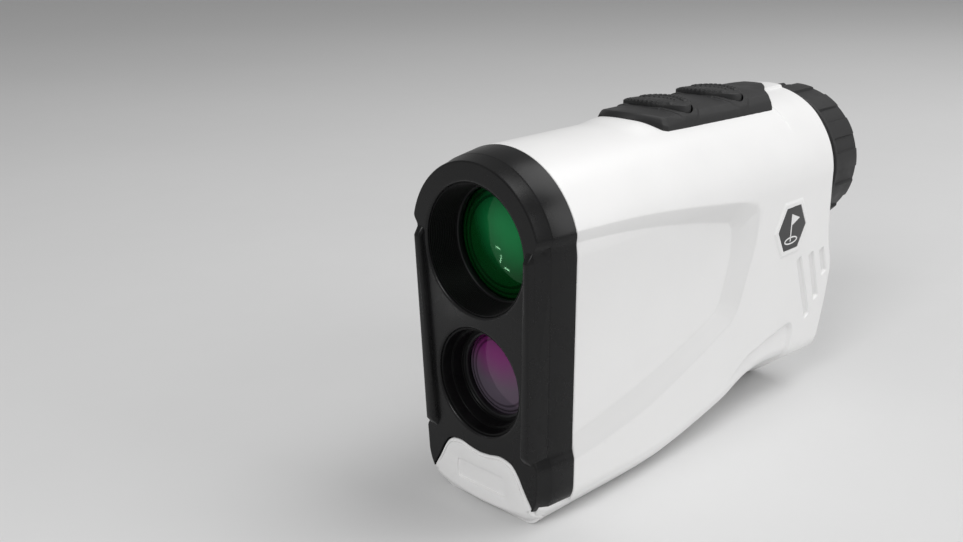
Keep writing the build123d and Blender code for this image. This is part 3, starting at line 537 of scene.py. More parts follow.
POCKET_RIM = np.concatenate([
    through([(-5, 62.3), (8.1, 62), (33.7, 60.7), (61.2, 57.5), (71.4, 55.5)]),
    through([(73.1, 53.4), (73.0, 50.5), (72.1, 44.9), (69.9, 39.0), (67.6, 32.9), (66.4, 30.2)]),
    through([(63.9, 27.7), (51.8, 22.8), (33.9, 16.9), (17.2, 14.2), (10, 13.6), (-5, 12.9)])])
POCKET_FLOOR = np.concatenate([
    through([(-5, 60.0), (9.1, 59.4), (22, 58.5), (35.1, 56.9), (49.5, 54.3), (61.6, 51.7)]),
    through([(62.7, 50.3), (62.9, 47), (62.8, 43.3), (61.1, 37.2), (59.9, 33.8)]),
    through([(58.4, 31.9), (52.3, 29.6), (37.8, 25.4), (24.3, 22.3), (10.7, 19.9), (-5, 17.4)])])
SCOOP = rounded([(60, 11), (72, 17.2), (81.8, 19.3), (90.6, 20.8), (92.6, 18.9), (92.4, 12),
                 (90, 4), (60, 1)], 1.6)
GILLS = [((92.5, 36.0), (98.6, 20.6)), ((98.2, 36.0), (102.4, 24.6)),
         ((103.4, 36.0), (105.4, 30.6))]
BADGE = (87.1, 45.7)


def hexagon(depth, z):
    """Distance outside the badge's hexagon."""
    x, y = np.abs(depth - BADGE[0]), np.abs(z - BADGE[1])
    return np.maximum(y, y / 2 + x * 0.866) - 5.33


def side_relief(depth, z, u):
    """Height of the features of a flank above the plain form."""
    rim = inside(depth, z, POCKET_RIM)
    floor = -inside(depth, z, POCKET_FLOOR)
    share = np.where(floor <= 0, 1.0, rim / (rim + np.maximum(floor, 0) + 1e-9))
    share = np.where(rim <= 0, 0.0, share)
    slope = np.clip((share - 0.04) / 0.92, 0, 1)
    slope = np.where(slope < 0.1, slope ** 2 * 5.0,
                     np.where(slope > 0.9, 1 - (1 - slope) ** 2 * 5.0,
                                                             slope * 1.125 - 0.0625))
    depth_here = smooth(depth, [5, 35, 62, 75], [0.72, 1.05, 1.55, 1.6])
    lift = -depth_here * np.clip(slope, 0, 1)
    wall = inside(depth, z, SCOOP)
    lift = lift - 0.8 * ease(wall / 1.5) * ease((depth - 62) / 12)
    badge = hexagon(depth, z)
    lift = lift + 0.24 * np.clip((1.55 - badge) / 0.6, 0, 1)
    lift = lift - 0.75 * np.clip((0.02 - badge) / 0.08, 0, 1)
    for (top_d, top_z), (low_d, low_z) in GILLS:
        length = np.hypot(low_d - top_d, low_z - top_z)
        ad, az = (low_d - top_d) / length, (low_z - top_z) / length
        along = (depth - top_d) * ad + (z - top_z) * az
        across = -(depth - top_d) * az + (z - top_z) * ad
        ends = np.clip((along + 1.0) / 0.45, 0, 1) * np.clip((length + 1.0 - along) / 0.7, 0, 1)
        front = np.clip((across + 1.25) / 0.35, 0, 1)
        rear = np.clip((1.25 - across) / 0.4, 0, 1)
        depth_there = 1.2 - 0.80 * np.clip((across + 0.9) / 2.0, 0, 1)
        lift = lift - depth_there * ends * front * rear
    return lift * ease((u - 18) / 4) * ease((88 - u) / 3)


def relief(depth, x, z, u):
    """Height of the shell's features above the plain form."""
    depth, x, z, u = np.broadcast_arrays(depth, x, z, u)
    lift = np.zeros(depth.shape)
    flank = (u > 18) & (u < 88)
    lift[flank] = side_relief(depth[flank], z[flank], u[flank])
    turn = u * 3.0
    along = ease((depth - 37.5) / 7) * ease((56 - depth) / 4)
    saddle = 0.72 * ease((9.8 - np.abs(x)) / 5.0) * along
    collar = 0.25 * ease((depth - 90.3) / 0.5) * ease((60 - turn) / 22)
    tab = 0.55 * ease((4.2 - np.abs(x)) / 0.5) * ease((depth - 96) / 0.6)
    above = (u < 30)
    return lift + np.where(above, saddle + collar + tab, 0.0)


REAR_Z = [0, 6, 15, 25, 32, 37.6, 43, 50, 90]
REAR_D = [101.5, 104.6, 107.2, 109.1, 109.4, 107.4, 106.3, 105.8, 105.8]


def shell(u, v):
    """Point of the housing: v is depth to 90, then the rear edge, the rear face and the bore."""
    side = np.where(u < 0, -1.0, 1.0)
    a = np.abs(u)
    _, end_z = outline(a, *sizes(np.full(np.shape(a), 99.0)))
    rear = smooth(end_z, REAR_Z, REAR_D)
    radius = smooth(end_z, [0, 12, 40, 50], [2.6, 2.2, 1.1, 0.9])
    depth = np.interp(v, [7, 9, 9.3, 90], [9.32, 9.32, 9.5, 90])
    depth = np.where(v > 90, 90 + (rear - radius - 90) * np.clip((v - 90) / 16, 0, 1), depth)
    shrink = np.interp(v, [7, 9, 9.3], [2.0, 0.18, 0.0])
    form = sizes(depth)
    x, z = outline(a, *form)
    step = 0.05
    ax, az = outline(np.clip(a - step, 0, 104), *form)
    bx, bz = outline(np.clip(a + step, 0, 104), *form)
    run = np.hypot(bx - ax, bz - az) + 1e-9
    nx, nz = -(bz - az) / run, (bx - ax) / run
    turn = np.clip((v - 106) / 4, 0, 1) * pi / 2
    rise = relief(depth, x, z, a) * np.cos(turn) - shrink
    x = x + nx * (rise - radius * (1 - np.cos(turn)))
    z = z + nz * (rise - radius * (1 - np.cos(turn)))
    depth = depth + radius * np.sin(turn)
    toward = np.arctan2(x, z - AXIS)
    share = np.clip((v - 110) / 16, 0, 1)
    fx, fz = x + (13.65 * np.sin(toward) - x) * share, z + (AXIS + 13.65 * np.cos(toward)
                                                            - z) * share
    behind = smooth(fz, REAR_Z, REAR_D) + (rear - smooth(z, REAR_Z, REAR_D)) * (1 - share)
    on_face = v > 110
    x, z = np.where(on_face, fx, x), np.where(on_face, fz, z)
    depth = np.where(on_face, behind, depth)
    depth = depth - np.clip((v - 126) / 2, 0, 1) * 2.2
    return np.stack([side * x, depth, z], -1)


half_u = np.concatenate([np.linspace(0, 30, 20), np.linspace(30, 80, 34)[1:],
                         [82, 84, 86, 88, 90, 92, BAY_U], np.linspace(BAY_U, 104, 7)[1:]])
all_u = np.concatenate([-half_u[::-1], half_u[1:]])
all_v = np.concatenate([[7, 9, 9.3, 9.8], np.linspace(9.8, BAY_END, 21)[1:],
                        np.linspace(BAY_END, 90, 31)[1:], np.linspace(90, 106, 11)[1:],
                        [107, 108, 109], np.linspace(110, 126, 14), [128]])


def open_underside(bm):
    """Cuts the window of the battery cover and gives the two openings their walls."""
    half = WINDOW_HALF * 0.001
    front, rear = ((end - FACE) * 0.001 for end in WINDOW_ENDS)
    low, wall = 0.009, 0.0019

    def near(face, reach, first, last):
        centre = face.calc_center_median()
        return centre.z < low and abs(centre.x) < reach and first < centre.y < last

    for point, normal in (((half, 0, 0), (1, 0, 0)), ((-half, 0, 0), (1, 0, 0)),
                          ((0, front, 0), (0, 1, 0)), ((0, rear, 0), (0, 1, 0))):
        under = [f for f in bm.faces if near(f, 0.012, -0.02, 0.034)]
        geometry = (under + list({e for f in under for e in f.edges})
                    + list({v for f in under for v in f.verts}))
        bmesh.ops.bisect_plane(bm, geom=geometry, plane_co=point, plane_no=normal, dist=1e-7)
    gone = [f for f in bm.faces if near(f, half, front, rear)]
    bmesh.ops.delete(bm, geom=gone, context="FACES")
    rims = [e for e in bm.edges if e.is_boundary
            and all(v.co.z < low and abs(v.co.x) < 0.0096 and v.co.y < 0.0285 for v in e.verts)]
    for v in bmesh.ops.extrude_edge_only(bm, edges=rims)["geom"]:
        if isinstance(v, bmesh.types.BMVert):
            v.co.z += wall


def lip(inner_x, stations):
    """Thin edge of the shell under the lower corner of the bezel, out from inner_x."""
    u = np.linspace(83, 96, 80)
    loops = []
    for depth, shrink in stations:
        half = np.interp(depth, [1.2, 3.45, 9.3], [18.2, 18.64, 19.5])
        lift = max(0.0, 1 - depth / 3.45)
        ox, oz = outline(u, half - shrink, lift + shrink, 12.6, 5.2 + lift)
        ix, iz = outline(u, half - 0.4, 2.2 + lift, 13.2, 5.9 + lift)
        across = np.linspace(ox[0], inner_x, 24)
        low = np.interp(across, ox[::-1], oz[::-1])
        high = np.maximum(np.interp(across, ix[::-1], iz[::-1]), low + 0.05)
        outer = np.stack([across, np.full(24, depth), low], 1)
        inner = np.stack([across, np.full(24, depth), high], 1)[::-1]
        loops.append(np.concatenate([outer, inner]))
    return stack(loops, caps=(True, True))


lugs = [block((x0, 37.4, 1.0), (x1, 41.8, 4.4), 0.3) for x0, x1 in ((9.3, 13.0), (-13.0, -9.3))]
body_skin = skin(shell, all_u, all_v, tolerance=0.005, levels=4,
                 keep=lambda u, v: ~((np.abs(u) > BAY_U) & (v < BAY_END)))
right_lip = joined(lip(14.5, [(1.2, 0.25), (1.35, 0.06), (1.6, 0.0), (3.45, 0.0), (9.4, 0.0)]),
                   lip(9.3, [(3.65, 0.0), (9.4, 0.0)]))
piece("housing_shell", joined(body_skin, right_lip, mirrored(right_lip), *lugs), SHELL, "housing",
      ["housing"], crease=50, shape=open_underside)


def shade_of(thing):
    """Paints shade on the pocket's slopes and the top of its floor.

    The lights alone leave them too bright.
    """
    mesh = thing.data
    place = np.empty(len(mesh.vertices) * 3)
    mesh.vertices.foreach_get("co", place)
    x, depth, z = (place.reshape(-1, 3) * 1000 + (0, FACE, 0)).T
    rim = inside(depth, z, POCKET_RIM)
    floor = -inside(depth, z, POCKET_FLOOR)
    share = np.where(rim > 0, rim / (rim + np.maximum(floor, 0) + 1e-9), 0)
    slope = ease(share / 0.12) * ease((1 - share) / 0.12)
    top = ease((z - 30) / 28)
    upper = ease((z - 50) / 5)
    amount = slope * (1.0 - 0.25 * upper) + 0.42 * ease((share - 0.85) / 0.15) * top
    amount = np.where(np.abs(x) > 14, amount, 0)
    layer = mesh.attributes.new("shade", "FLOAT", "POINT")
    layer.data.foreach_set("value", amount)


# puts the painted shade into the housing's side pocket
shade_of(bpy.data.objects["housing_shell"])


def cover_surface(u, v):
    """Underside cover: u across, v along, following the shell."""
    half, floor, flat, bevel = sizes(v)
    foot = half - TAPER * (AXIS - bevel)
    slant = floor + (np.abs(u) - flat) / (foot - flat) * (bevel - floor)
    z = np.where(np.abs(u) > flat - 1.0, np.maximum(floor, slant), floor)
    return np.stack([u, v, z + 0.02], -1)


cover_half = WINDOW_HALF - COVER_GAP
cover_front, cover_rear = WINDOW_ENDS[0] + COVER_GAP, WINDOW_ENDS[1] - COVER_GAP
cu, cv = np.linspace(-cover_half, cover_half, 28), np.linspace(cover_front, cover_rear, 60)
gu, gv = np.meshgrid(cu, cv, indexing="ij")
grid = cover_surface(gu, gv)
edge = np.minimum(cover_half - np.abs(gu), np.minimum(gv - cover_front, cover_rear - gv))
grid[..., 2] += 0.18 * (1 - np.clip(edge / 0.3, 0, 1)) ** 2
for rib in range(5):
    grid[..., 2] += 0.35 * np.exp(-((gv - (58 + 4 * rib)) / 0.55) ** 2) * (np.abs(gu) < 4.6)
n_u, n_v = grid.shape[:2]
cover_faces = [[i * n_v + j, (i + 1) * n_v + j, (i + 1) * n_v + j + 1, i * n_v + j + 1]
               for i in range(n_u - 1) for j in range(n_v - 1)]
ring_i = ([(i, 0) for i in range(n_u)] + [(n_u - 1, j) for j in range(1, n_v)]
          + [(i, n_v - 1) for i in range(n_u - 2, -1, -1)]
          + [(0, j) for j in range(n_v - 2, 0, -1)])
border = np.array([grid[i, j] for i, j in ring_i])
wall = stack([border, border + (0, 0, 1.8)], caps=(False, True))
piece("underside_cover", joined((grid.reshape(-1, 3), cover_faces), wall), SHELL, "housing",
      ["bottom_cover"], crease=40)

# --- bezel ---------------------------------------------------------------------------------
CHIN_HALF = [(14.4, 5.1), (12.4, 8.2), (10.7, 11.2), (9.2, 12.9), (7.5, 13.6), (5.1, 13.75),
             (2.6, 13.2), (0.0, 12.9)]


def chin_top(gap):
    """Upper edge of the chin from its right end to its left end."""
    half = np.array(CHIN_HALF)
    half = np.concatenate([half[:1], through(half, 5)[1:]])
    half[:, 1] += gap
    half[:, 0] = np.where(half[:, 0] > 0.01, half[:, 0] + gap, 0)
    left = half[-2::-1] * (-1, 1)
    return np.concatenate([half, left])


def side_recess(depth, z):
    """How far the bezel's side stands back beside the rails."""
    height = ease((z - 13.8) / 2.9) * ease((61.3 - z) / 2.4)
    return np.interp(depth, [0, 3.45, 9.3], [1.40, 1.05, 0.60]) * height


def bezel_loop(depth, half):
    """Closed outline of the bezel at one depth: outer edge, then the cut for the chin."""
    lift = max(0.0, 1.0 - depth / 3.45)
    u = np.concatenate([np.linspace(0, 30, 61), np.linspace(30, 80, 201)[1:],
                        np.linspace(80, 84, 7)[1:]])
    x, z = outline(u, np.full(u.shape, half), 2 + lift, 13.4, 5.8 + lift)
    x = x - side_recess(depth, z)
    foot = half - TAPER * (AXIS - 5.8 - lift)
    last = 5.8 + lift - (foot - 14.65) / (foot - 13.4) * 3.8
    x, z = np.append(x, 14.65), np.append(z, last)
    right = np.stack([x, z], 1)
    left = right[::-1] * (-1, 1)
    return np.concatenate([right[1:], chin_top(0.25), left[:-1]])[::-1]


def at_depth(loop, depth):
    """Flat (x, z) loop as points at one depth."""
    return np.stack([loop[:, 0], np.full(len(loop), depth), loop[:, 1]], 1)


def ring_loop(radius, height, count=144):
    """Circle on the face, about an optical axis."""
    angle = np.linspace(0, 2 * pi, count, endpoint=False)
    return np.stack([radius * np.cos(angle), height + radius * np.sin(angle)], 1)


# Depth and half width of each cross-section, from the joint with the housing to the face
BEZEL_STEPS = [(9.25, 17.4), (9.25, 19.38), (9.15, 19.5), (3.62, 18.68), (3.45, 18.6),
               (3.28, 18.5), (0.30, 17.88), (0.08, 17.78), (0.0, 17.6)]
outer_loops = [at_depth(bezel_loop(d, h), d) for d, h in BEZEL_STEPS]
support = bezel_loop(*BEZEL_STEPS[-1])
inwards = np.array([0, 40.0]) - support
support = support + inwards / np.linalg.norm(inwards, axis=1)[:, None] * 0.25
outer_wall = stack(outer_loops + [at_depth(support, 0.0)])
holes = []
for height, radius, reach in ((AXIS, 13.5, 8.0), (EMITTER, 11.5, 5.4)):
    curve = [(0.0, radius + 0.95), (0.0, radius + 0.62)]
    curve += [(0.55 - 0.55 * cos(t), radius + 0.62 - 0.6
               * sin(t)) for t in np.linspace(0.2, pi / 2, 6)]
    curve += [(reach, radius)]
    holes.append((height, curve))
hole_walls = [turned(curve, height, 144) for height, curve in holes]
front_fill = filled([support, ring_loop(14.45, AXIS), ring_loop(12.45, EMITTER)],
                    lambda loop: at_depth(loop, 0.0))


def rail_loops():
    """Raised strip beside the face: cross-sections from its top end to its bottom end."""
    loops = []
    for z, rise in ((59.6, 0.0), (58.9, 0.25), (57.3, 1.0), (56.9, 1.0), (17.2, 1.0), (16.6, 1.0),
                    (14.9, 0.2), (14.3, 0.0)):
        share = (57 - z) / 40
        base, top_in, top_out, side_x = (14.4 - 1.9 * share, 14.7 - 1.8 * share, 15.9 - 1.0 * share,
                                         17.55 - 1.45 * share)
        front = 0.35 - 1.65 * rise
        section = [(base - 0.05, 0.4), (base, 0.0 if rise > 0 else 0.35),
                   (top_in - 0.12, front + 0.25 * rise), (top_in, front + 0.07 * rise),
                   (top_in + 0.16, front), (top_out - 0.2, front),
                   (top_out - 0.02, front + 0.08 * rise), (top_out + 0.12, front + 0.3 * rise),
                   (side_x - 0.12, 3.25), (side_x - 0.3, 3.6)]
        loops.append([(x, d, z) for x, d in section])
    return stack(loops, caps=(True, True))


rail = rail_loops()
piece("bezel", joined(outer_wall, front_fill, *hole_walls, rail, mirrored(rail)), BEZEL, "housing",
      ["front_bezel"], crease=38)

# --- hoods, retainers and coated lenses ----------------------------------------------------
objective_cone = [(0.62, 13.48), (0.62, 13.2)]
for k in range(15):
    r = 13.2 - 0.062 * k
    objective_cone += [(0.75 + 0.42 * k, r), (0.98 + 0.42 * k, r - 0.02),
                       (1.02 + 0.42 * k, r - 0.09), (1.13 + 0.42 * k, r - 0.09)]
objective_cone += [(7.1, 12.25), (7.1, 13.4), (0.62, 13.48)]
piece("objective_hood_threads", turned(objective_cone), MATT, "housing",
      ["objective_hood"], crease=28)

emitter_cone = [(0.62, 11.45), (0.62, 11.1)]
for k in range(2):
    r = 11.0 - 0.8 * k
    emitter_cone += [(0.8 + 2.2 * k, r), (2.85 + 2.2 * k, r - 0.22), (2.93 + 2.2 * k, r - 0.28),
                     (2.95 + 2.2 * k, r - 0.78)]
emitter_cone += [(5.3, 9.25), (5.3, 11.4), (0.62, 11.45)]
piece("emitter_hood_steps", turned(emitter_cone, EMITTER), MATT, "housing",
      ["emitter_hood"], crease=28)
piece("objective_ring", turned([(7.15, 13.3), (7.15, 12.2), (7.2, 12.0), (7.35, 11.9), (7.9, 11.85),
                                (8.4, 12.0), (8.4, 12.45), (8.2, 13.3), (7.15, 13.3)]), ANODISED,
                                "housing",
      ["objective_retainer"], crease=28)
piece("emitter_ring", turned([(5.45, 9.3), (5.45, 9.0), (5.5, 8.8), (5.65, 8.72), (6.4, 8.8),
                              (6.4, 9.3), (5.45, 9.3)],
                             EMITTER), ANODISED, "housing", ["emitter_retainer"],
                             crease=28)


def lens_form(front, rear, edge, bulge_front, bulge_rear, height, rings=26):
    """Lens with two domed faces and small edge chamfers."""
    out = []
    for r in np.linspace(0, edge - 0.15, rings):
        out.append((front - bulge_front * (1 - (r / edge) ** 2), r))
    out += [(front + 0.1, edge), (rear - 0.1, edge)]
    for r in np.linspace(edge - 0.15, 0, rings):
        out.append((rear + bulge_rear * (1 - (r / edge) ** 2), r))
    return turned(out, height)


piece("objective_glass", lens_form(8.9, 14.0, 12.35, 1.0, 0.2, AXIS), GREEN, "housing",
      ["objective_lens"], crease=28)
piece("emitter_glass", lens_form(6.9, 9.6, 9.2, 0.4, 0.6, EMITTER), VIOLET, "housing",
      ["emitter_lens"], crease=28)
piece("eye_glass", lens_form(110.6, 114.4, 10.4, 0.4, 1.2, AXIS), OCULAR, "ocular",
      ["eye_lens"], crease=28)

# --- battery door --------------------------------------------------------------------------
low_edge = through([(14.4, 3.75), (11.0, 2.6), (5.5, 1.75), (0, 1.45), (-5.5, 1.75), (-11.0, 2.6),
                    (-14.4, 3.75)], 10)
chin_ring = np.concatenate([chin_top(0.0), low_edge[::-1]])
chin_ring = rounded(chin_ring, 0.9, 3)
if area(chin_ring) < 0:
    chin_ring = chin_ring[::-1]


def even(loop, count):
    """The same closed loop with evenly spaced points."""
    closed = np.concatenate([loop, loop[:1]])
    run = np.concatenate([[0], np.cumsum(np.linalg.norm(np.diff(closed, axis=0), axis=1))])
    at = np.linspace(0, run[-1], count, endpoint=False)
    return np.stack([np.interp(at, run, closed[:, k]) for k in (0, 1)], 1)


chin_ring = even(chin_ring, 260)


def nose_floor(x, depth):
    """Underside of the nose at this distance across and depth."""
    x = np.abs(x)
    corner = 1.16 * np.clip((x - 11.0) / 2.7, 0, 1) ** 2 + 1.06 * np.maximum(x - 13.7, 0)
    return np.maximum(0.0, 1 - depth / 3.45) + corner


def chin_loop(amount, depth, wrap=1.0):
    """One loop of the chin plate; its lower edge wraps under the nose."""
    loop = inset(chin_ring, amount)
    low = ease((5.4 - chin_ring[:, 1]) / 1.6)
    under = np.interp(wrap, [0, 1, 2, 3], [0.0, 0.6, 1.7, 3.6])
    share = np.interp(wrap, [0, 1, 2, 3], [0.0, 0.35, 0.8, 1.0]) * low
    z = loop[:, 1] * (1 - share) + nose_floor(loop[:, 0], under) * share
    return np.stack([loop[:, 0], depth * (1 - low) + under * low, z], 1)


upper = np.clip((chin_ring[:, 1] - 6.0) / 1.5, 0, 1)
groove = [chin_loop(a, 0.0, w) for a, w in ((0.62, 0.06), (0.68, 0.04), (0.80, 0.02), (0.86, 0.0))]
for k in (1, 2):
    groove[k][:, 1] += 0.22 * upper
chin_front = [chin_loop(0.0, 2.3, 3.0), chin_loop(0.0, 1.2, 2.4), chin_loop(0.0, 0.55, 1.8),
              chin_loop(0.04, 0.32, 1.3), chin_loop(0.14, 0.14, 0.9), chin_loop(0.30, 0.03, 0.5),
              chin_loop(0.48, 0.0, 0.2)] + groove + [
              chin_loop(1.0, 0.0, 0.0)]


def slot_loop(outset, corner):
    """Grip recess in the chin, 14.2 mm by 4.5 mm, drawn a little larger or smaller."""
    x, low, high = 7.1 + outset, 4.9 - outset, 9.4 + outset
    return rounded([(x, low), (x, high), (-x, high), (-x, low)], corner, 6)


slot_out = slot_loop(0.15, 1.1)
slot_wall = stack([at_depth(slot_out, 0.0), at_depth(slot_loop(0.0, 1.0), 0.05),
                   at_depth(slot_loop(-0.15, 0.9), 0.46), at_depth(slot_loop(-0.35, 0.75), 0.5)],
                  caps=(False, True))
inner_ring = chin_front[-1][:, [0, 2]]
chin_fill = filled([inner_ring, slot_out], lambda loop: at_depth(loop, 0.0))
chin_back = filled([chin_front[0][:, [0, 2]]], lambda loop: at_depth(loop, 2.3))
panel = block((-9.0, 3.0, 0.0), (9.0, 36.8, 1.6), 0.35)
arms = [block((x0, 36.0, 0.0), (x1, 39.9, 1.6), 0.3) for x0, x1 in ((3.2, 8.8), (-8.8, -3.2))]


def cross_tube(x0, x1, depth, height, radius, count=40):
    """Round knuckle lying across the body."""
    angle = np.linspace(0, 2 * pi, count, endpoint=False)
    loops = [np.stack([np.full(count, x), depth + r * np.cos(angle), height + r * np.sin(angle)], 1)
             for x, r in ((x0, radius - 0.25), (x0 + 0.07, radius - 0.07), (x0 + 0.25, radius),
                          (x1 - 0.25, radius), (x1 - 0.07, radius - 0.07), (x1, radius - 0.25))]
    return stack(loops, caps=(True, True))


knuckles = [cross_tube(x0, x1, 39.6, 2.0, 1.7) for x0, x1 in ((3.2, 8.8), (-8.8, -3.2))]
piece("door_panel", joined(stack(chin_front), chin_fill, chin_back, slot_wall, panel, *arms,
                           *knuckles), SHELL,
      "battery_door", ["battery_door"], crease=40)

# --- top pad and buttons -------------------------------------------------------------------
front_curve = through([(-4.4, 44.2), (0, 43.05), (4.4, 44.2), (9.0, 48.6)], 6)[6:]
pad_ring = np.concatenate([front_curve, rounded([(9.5, 49.9), (10.9, 89.8), (6.0, 93.3),
                                                 (4.3, 96.6), (0, 101.0)],
                                                0.7, 3, closed=False)])
pad_ring = np.concatenate([pad_ring, pad_ring[-2:0:-1] * (-1, 1)])


def button_edge(x, along):
    """Distance inside a button's oval edge, from its middle."""
    oval = np.hypot(x / BUTTON_HALF[0], along / BUTTON_HALF[1])
    return (1 - oval) * np.where(np.abs(x) > 5, 7.2, 5.6)


def pad_plain(x, d):
    """Top of the pad without its edge."""
    x = np.abs(x)
    top = smooth(x, [0, 3, 5.6, 7.6, 8.6], [77.9, 77.75, 77.4, 76.8, 76.35])
    facet = 76.35 - (x - 8.6) * 1.0
    side = 74.95 - (x - 10.0) * 2.1
    top = np.where(x > 8.6, np.minimum(facet, side), top)
    return np.minimum(top, 78.4 - 0.3 * (d - 96))


def pad_top(u, v):
    """Height field of the pad: rounded edge, wells and rims round the buttons."""
    edge = inside(u, v, pad_ring)
    z = pad_plain(u, v)
    along_front = ease((55 - v) / 6)
    rim = 1.15 * along_front + 0.45 * (1 - along_front)
    z = z - rim * (1 - np.clip(edge / rim, 0, 1)) ** 2
    for depth in BUTTONS.values():
        away = -button_edge(u, v - depth)
        z = z + 0.32 * ease((1.75 - away) / 0.35) * ease(np.abs(u) / 4 - 0.4)
        z = z - 1.6 * np.clip((0.40 - away) / 0.15, 0, 1)
    z = z - 4.0 * np.clip(-edge / 0.12, 0, 1)
    return np.stack([u, v, z], -1)


piece("pad_skin", skin(pad_top, np.linspace(-11.2, 11.2, 29), np.linspace(42.8, 101.4, 75), 0.008,
                       3, keep=lambda u, v: inside(u, v, pad_ring) > -0.8),
      RUBBER, "housing", ["top_pad"], crease=40)


def cap_surface(depth):
    """Top of one button: crown, serrated edges and pips."""
    def surface(u, v):
        w = v - depth
        away = button_edge(u, w)
        z = 78.75 - 0.65 * (u / BUTTON_HALF[0]) ** 2
        z = z - 0.22 * (1 - np.clip(away / 0.35, 0, 1)) ** 2
        bow = 4.35 - 0.05 * u ** 2
        band = (np.clip((1.05 - np.abs(np.abs(w) - bow)) / 0.22, 0, 1)
                * np.clip((6.3 - np.abs(u)) / 0.4, 0, 1))
        tooth = np.clip((0.40 - np.abs((u + 0.6) % 1.2 - 0.6)) / 0.14, 0, 1)
        second = (np.clip((0.75 - np.abs(np.abs(w) - bow + 2.0)) / 0.22, 0, 1)
                  * np.clip((5.3 - np.abs(u)) / 0.4, 0, 1))
        pip = np.clip((0.36 - np.abs(u % 1.2 - 0.6)) / 0.14, 0, 1)
        z = z + 0.30 * band * tooth + 0.2 * second * pip
        z = z - 3.2 * np.clip(-away / 0.1, 0, 1)
        return np.stack([u, v, z], -1)
    return surface


for name, depth in BUTTONS.items():
    cap = skin(cap_surface(depth), np.linspace(-8.8, 8.8, 23), depth + np.linspace(-5.6, 5.6, 15),
               0.01, 4, keep=lambda u, v: np.hypot(u / BUTTON_HALF[0],
                                                   (v - depth) / BUTTON_HALF[1]) < 1.14)
    piece(f"{name}_cap", cap, RUBBER, f"{name}_button", [f"{name}_button"], crease=44)

# --- eyepiece ------------------------------------------------------------------------------
RING_PROFILE_D = [107.6, 107.75, 108.0, 108.3, 118.0, 118.7, 119.1, 119.4, 119.5]
RING_PROFILE_R = [18.1, 18.4, 18.65, 18.75, 18.75, 18.7, 18.5, 18.2, 18.0]
LOBES = 14
PITCH = 360 / LOBES
FIRST_VALLEY = 99.2


def ring_surface(u, v):
    """Grip ring: u is the angle from the top towards +X, v the depth."""
    phase = (u - FIRST_VALLEY + PITCH / 2) % PITCH - PITCH / 2
    valley = np.clip((6.25 - np.abs(phase)) / 0.9, 0, 1) * ease((v - 108.75) / 0.8)
    radius = np.interp(v, RING_PROFILE_D, RING_PROFILE_R)
    radius = np.where(radius > 18.15, radius - (radius - 18.15) * valley, radius)
    angle = np.radians(u)
    return np.stack([radius * np.sin(angle), v, AXIS + radius * np.cos(angle)], -1)


valley_half = np.array([3, 5.35, 5.75, 6.25, 6.75, 7.3, 9.5])
lobe_u = np.concatenate([[-PITCH / 2], -valley_half[::-1], [0], valley_half])
ring_u = np.concatenate([FIRST_VALLEY + PITCH * k + lobe_u for k in range(LOBES)]
                        + [[FIRST_VALLEY - PITCH / 2 + 360]])
ring_v = np.array([107.6, 107.75, 108.0, 108.3, 108.75, 109.0, 109.3, 109.55, 110.5, 112, 114, 116,
                   118, 118.7, 119.1, 119.4, 119.5])
ring_skin = skin(ring_surface, ring_u, ring_v, 0.004, 1)
ring_back = turned([(119.5, 18.0), (119.52, 17.6), (119.3, 17.4), (118.3, 16.85), (118.3, 15.2)],
                   segments=224)
ring_front = turned([(107.6, 18.1), (107.55, 17.6), (107.6, 15.0)], segments=224)
piece("grip_ring", joined(ring_skin, ring_back, ring_front), RUBBER, "diopter_ring",
      ["diopter_ring"], crease=34)
cup = [(118.3, 11.6), (119.0, 11.72), (119.9, 12.0), (120.4, 12.35), (120.65, 12.9), (120.7, 13.6),
       (120.66, 14.5), (120.45, 15.0), (120.1, 15.35), (119.7, 15.6), (119.5, 16.0), (118.6, 16.0),
       (118.55, 15.92), (118.45, 15.92), (118.4, 16.0), (117.8, 16.0), (117.75, 15.92),
       (117.65, 15.92), (117.6, 16.0), (115.9, 16.0),
       (115.9, 15.1)]
piece("eyecup_rim", turned(cup, segments=180), SEAL, "ocular", ["eyecup"], crease=30)


# --- side badges ---------------------------------------------------------------------------
def flank_point(side, depth, z, lift):
    """Point on a leaning flank of the housing."""
    half = smooth(depth, DEPTHS, HALVES)
    x = half - TAPER * (AXIS - z) + lift
    return np.stack([side * x, depth, z], -1)


def badge(side):
    """Hexagonal plate with a small chamfer."""
    angle = np.radians(np.arange(6) * 60)
    loops = []
    for radius, lift in ((6.1, -0.6), (6.1, 0.12), (6.02, 0.2), (5.7, 0.22)):
        corner = np.stack([BADGE[0] + radius * np.cos(angle), BADGE[1] + radius * np.sin(angle)], 1)
        ring = rounded(corner, 0.12, 2)
        loops.append(flank_point(side, ring[:, 0], ring[:, 1], lift))
    return stack(loops, caps=(False, True))


def icon_shape(side, outline_points, low=0.15, high=0.27):
    """Thin raised shape on the badge, from points about its centre."""
    ring = np.asarray(outline_points, float) + BADGE
    return stack([flank_point(side, ring[:, 0], ring[:, 1], lift) for lift in (low, high)],
                 caps=(True, True))


def flag_icon(side):
    """Generic pin flag: pole, pennant and the ground around the hole."""
    pole = [(-0.75, -3.2), (-0.35, -3.2), (-0.35, 3.6), (-0.75, 3.6)]
    pennant = [(-0.35, 3.5), (3.0, 2.15), (-0.35, 0.8)]
    angle = np.linspace(0, 2 * pi, 40, endpoint=False)
    outer = np.stack([2.9 * np.cos(angle) - 0.3, 0.95 * np.sin(angle) - 3.0], 1)
    inner = np.stack([2.45 * np.cos(angle) - 0.3, 0.6 * np.sin(angle) - 3.0], 1)
    loops = []
    for ring, lift in ((outer, 0.15), (outer, 0.27), (inner, 0.27), (inner, 0.15)):
        ring = ring + BADGE
        loops.append(flank_point(side, ring[:, 0], ring[:, 1], lift))
    return joined(icon_shape(side, pole), icon_shape(side, rounded(pennant, 0.25, 3)), stack(loops))


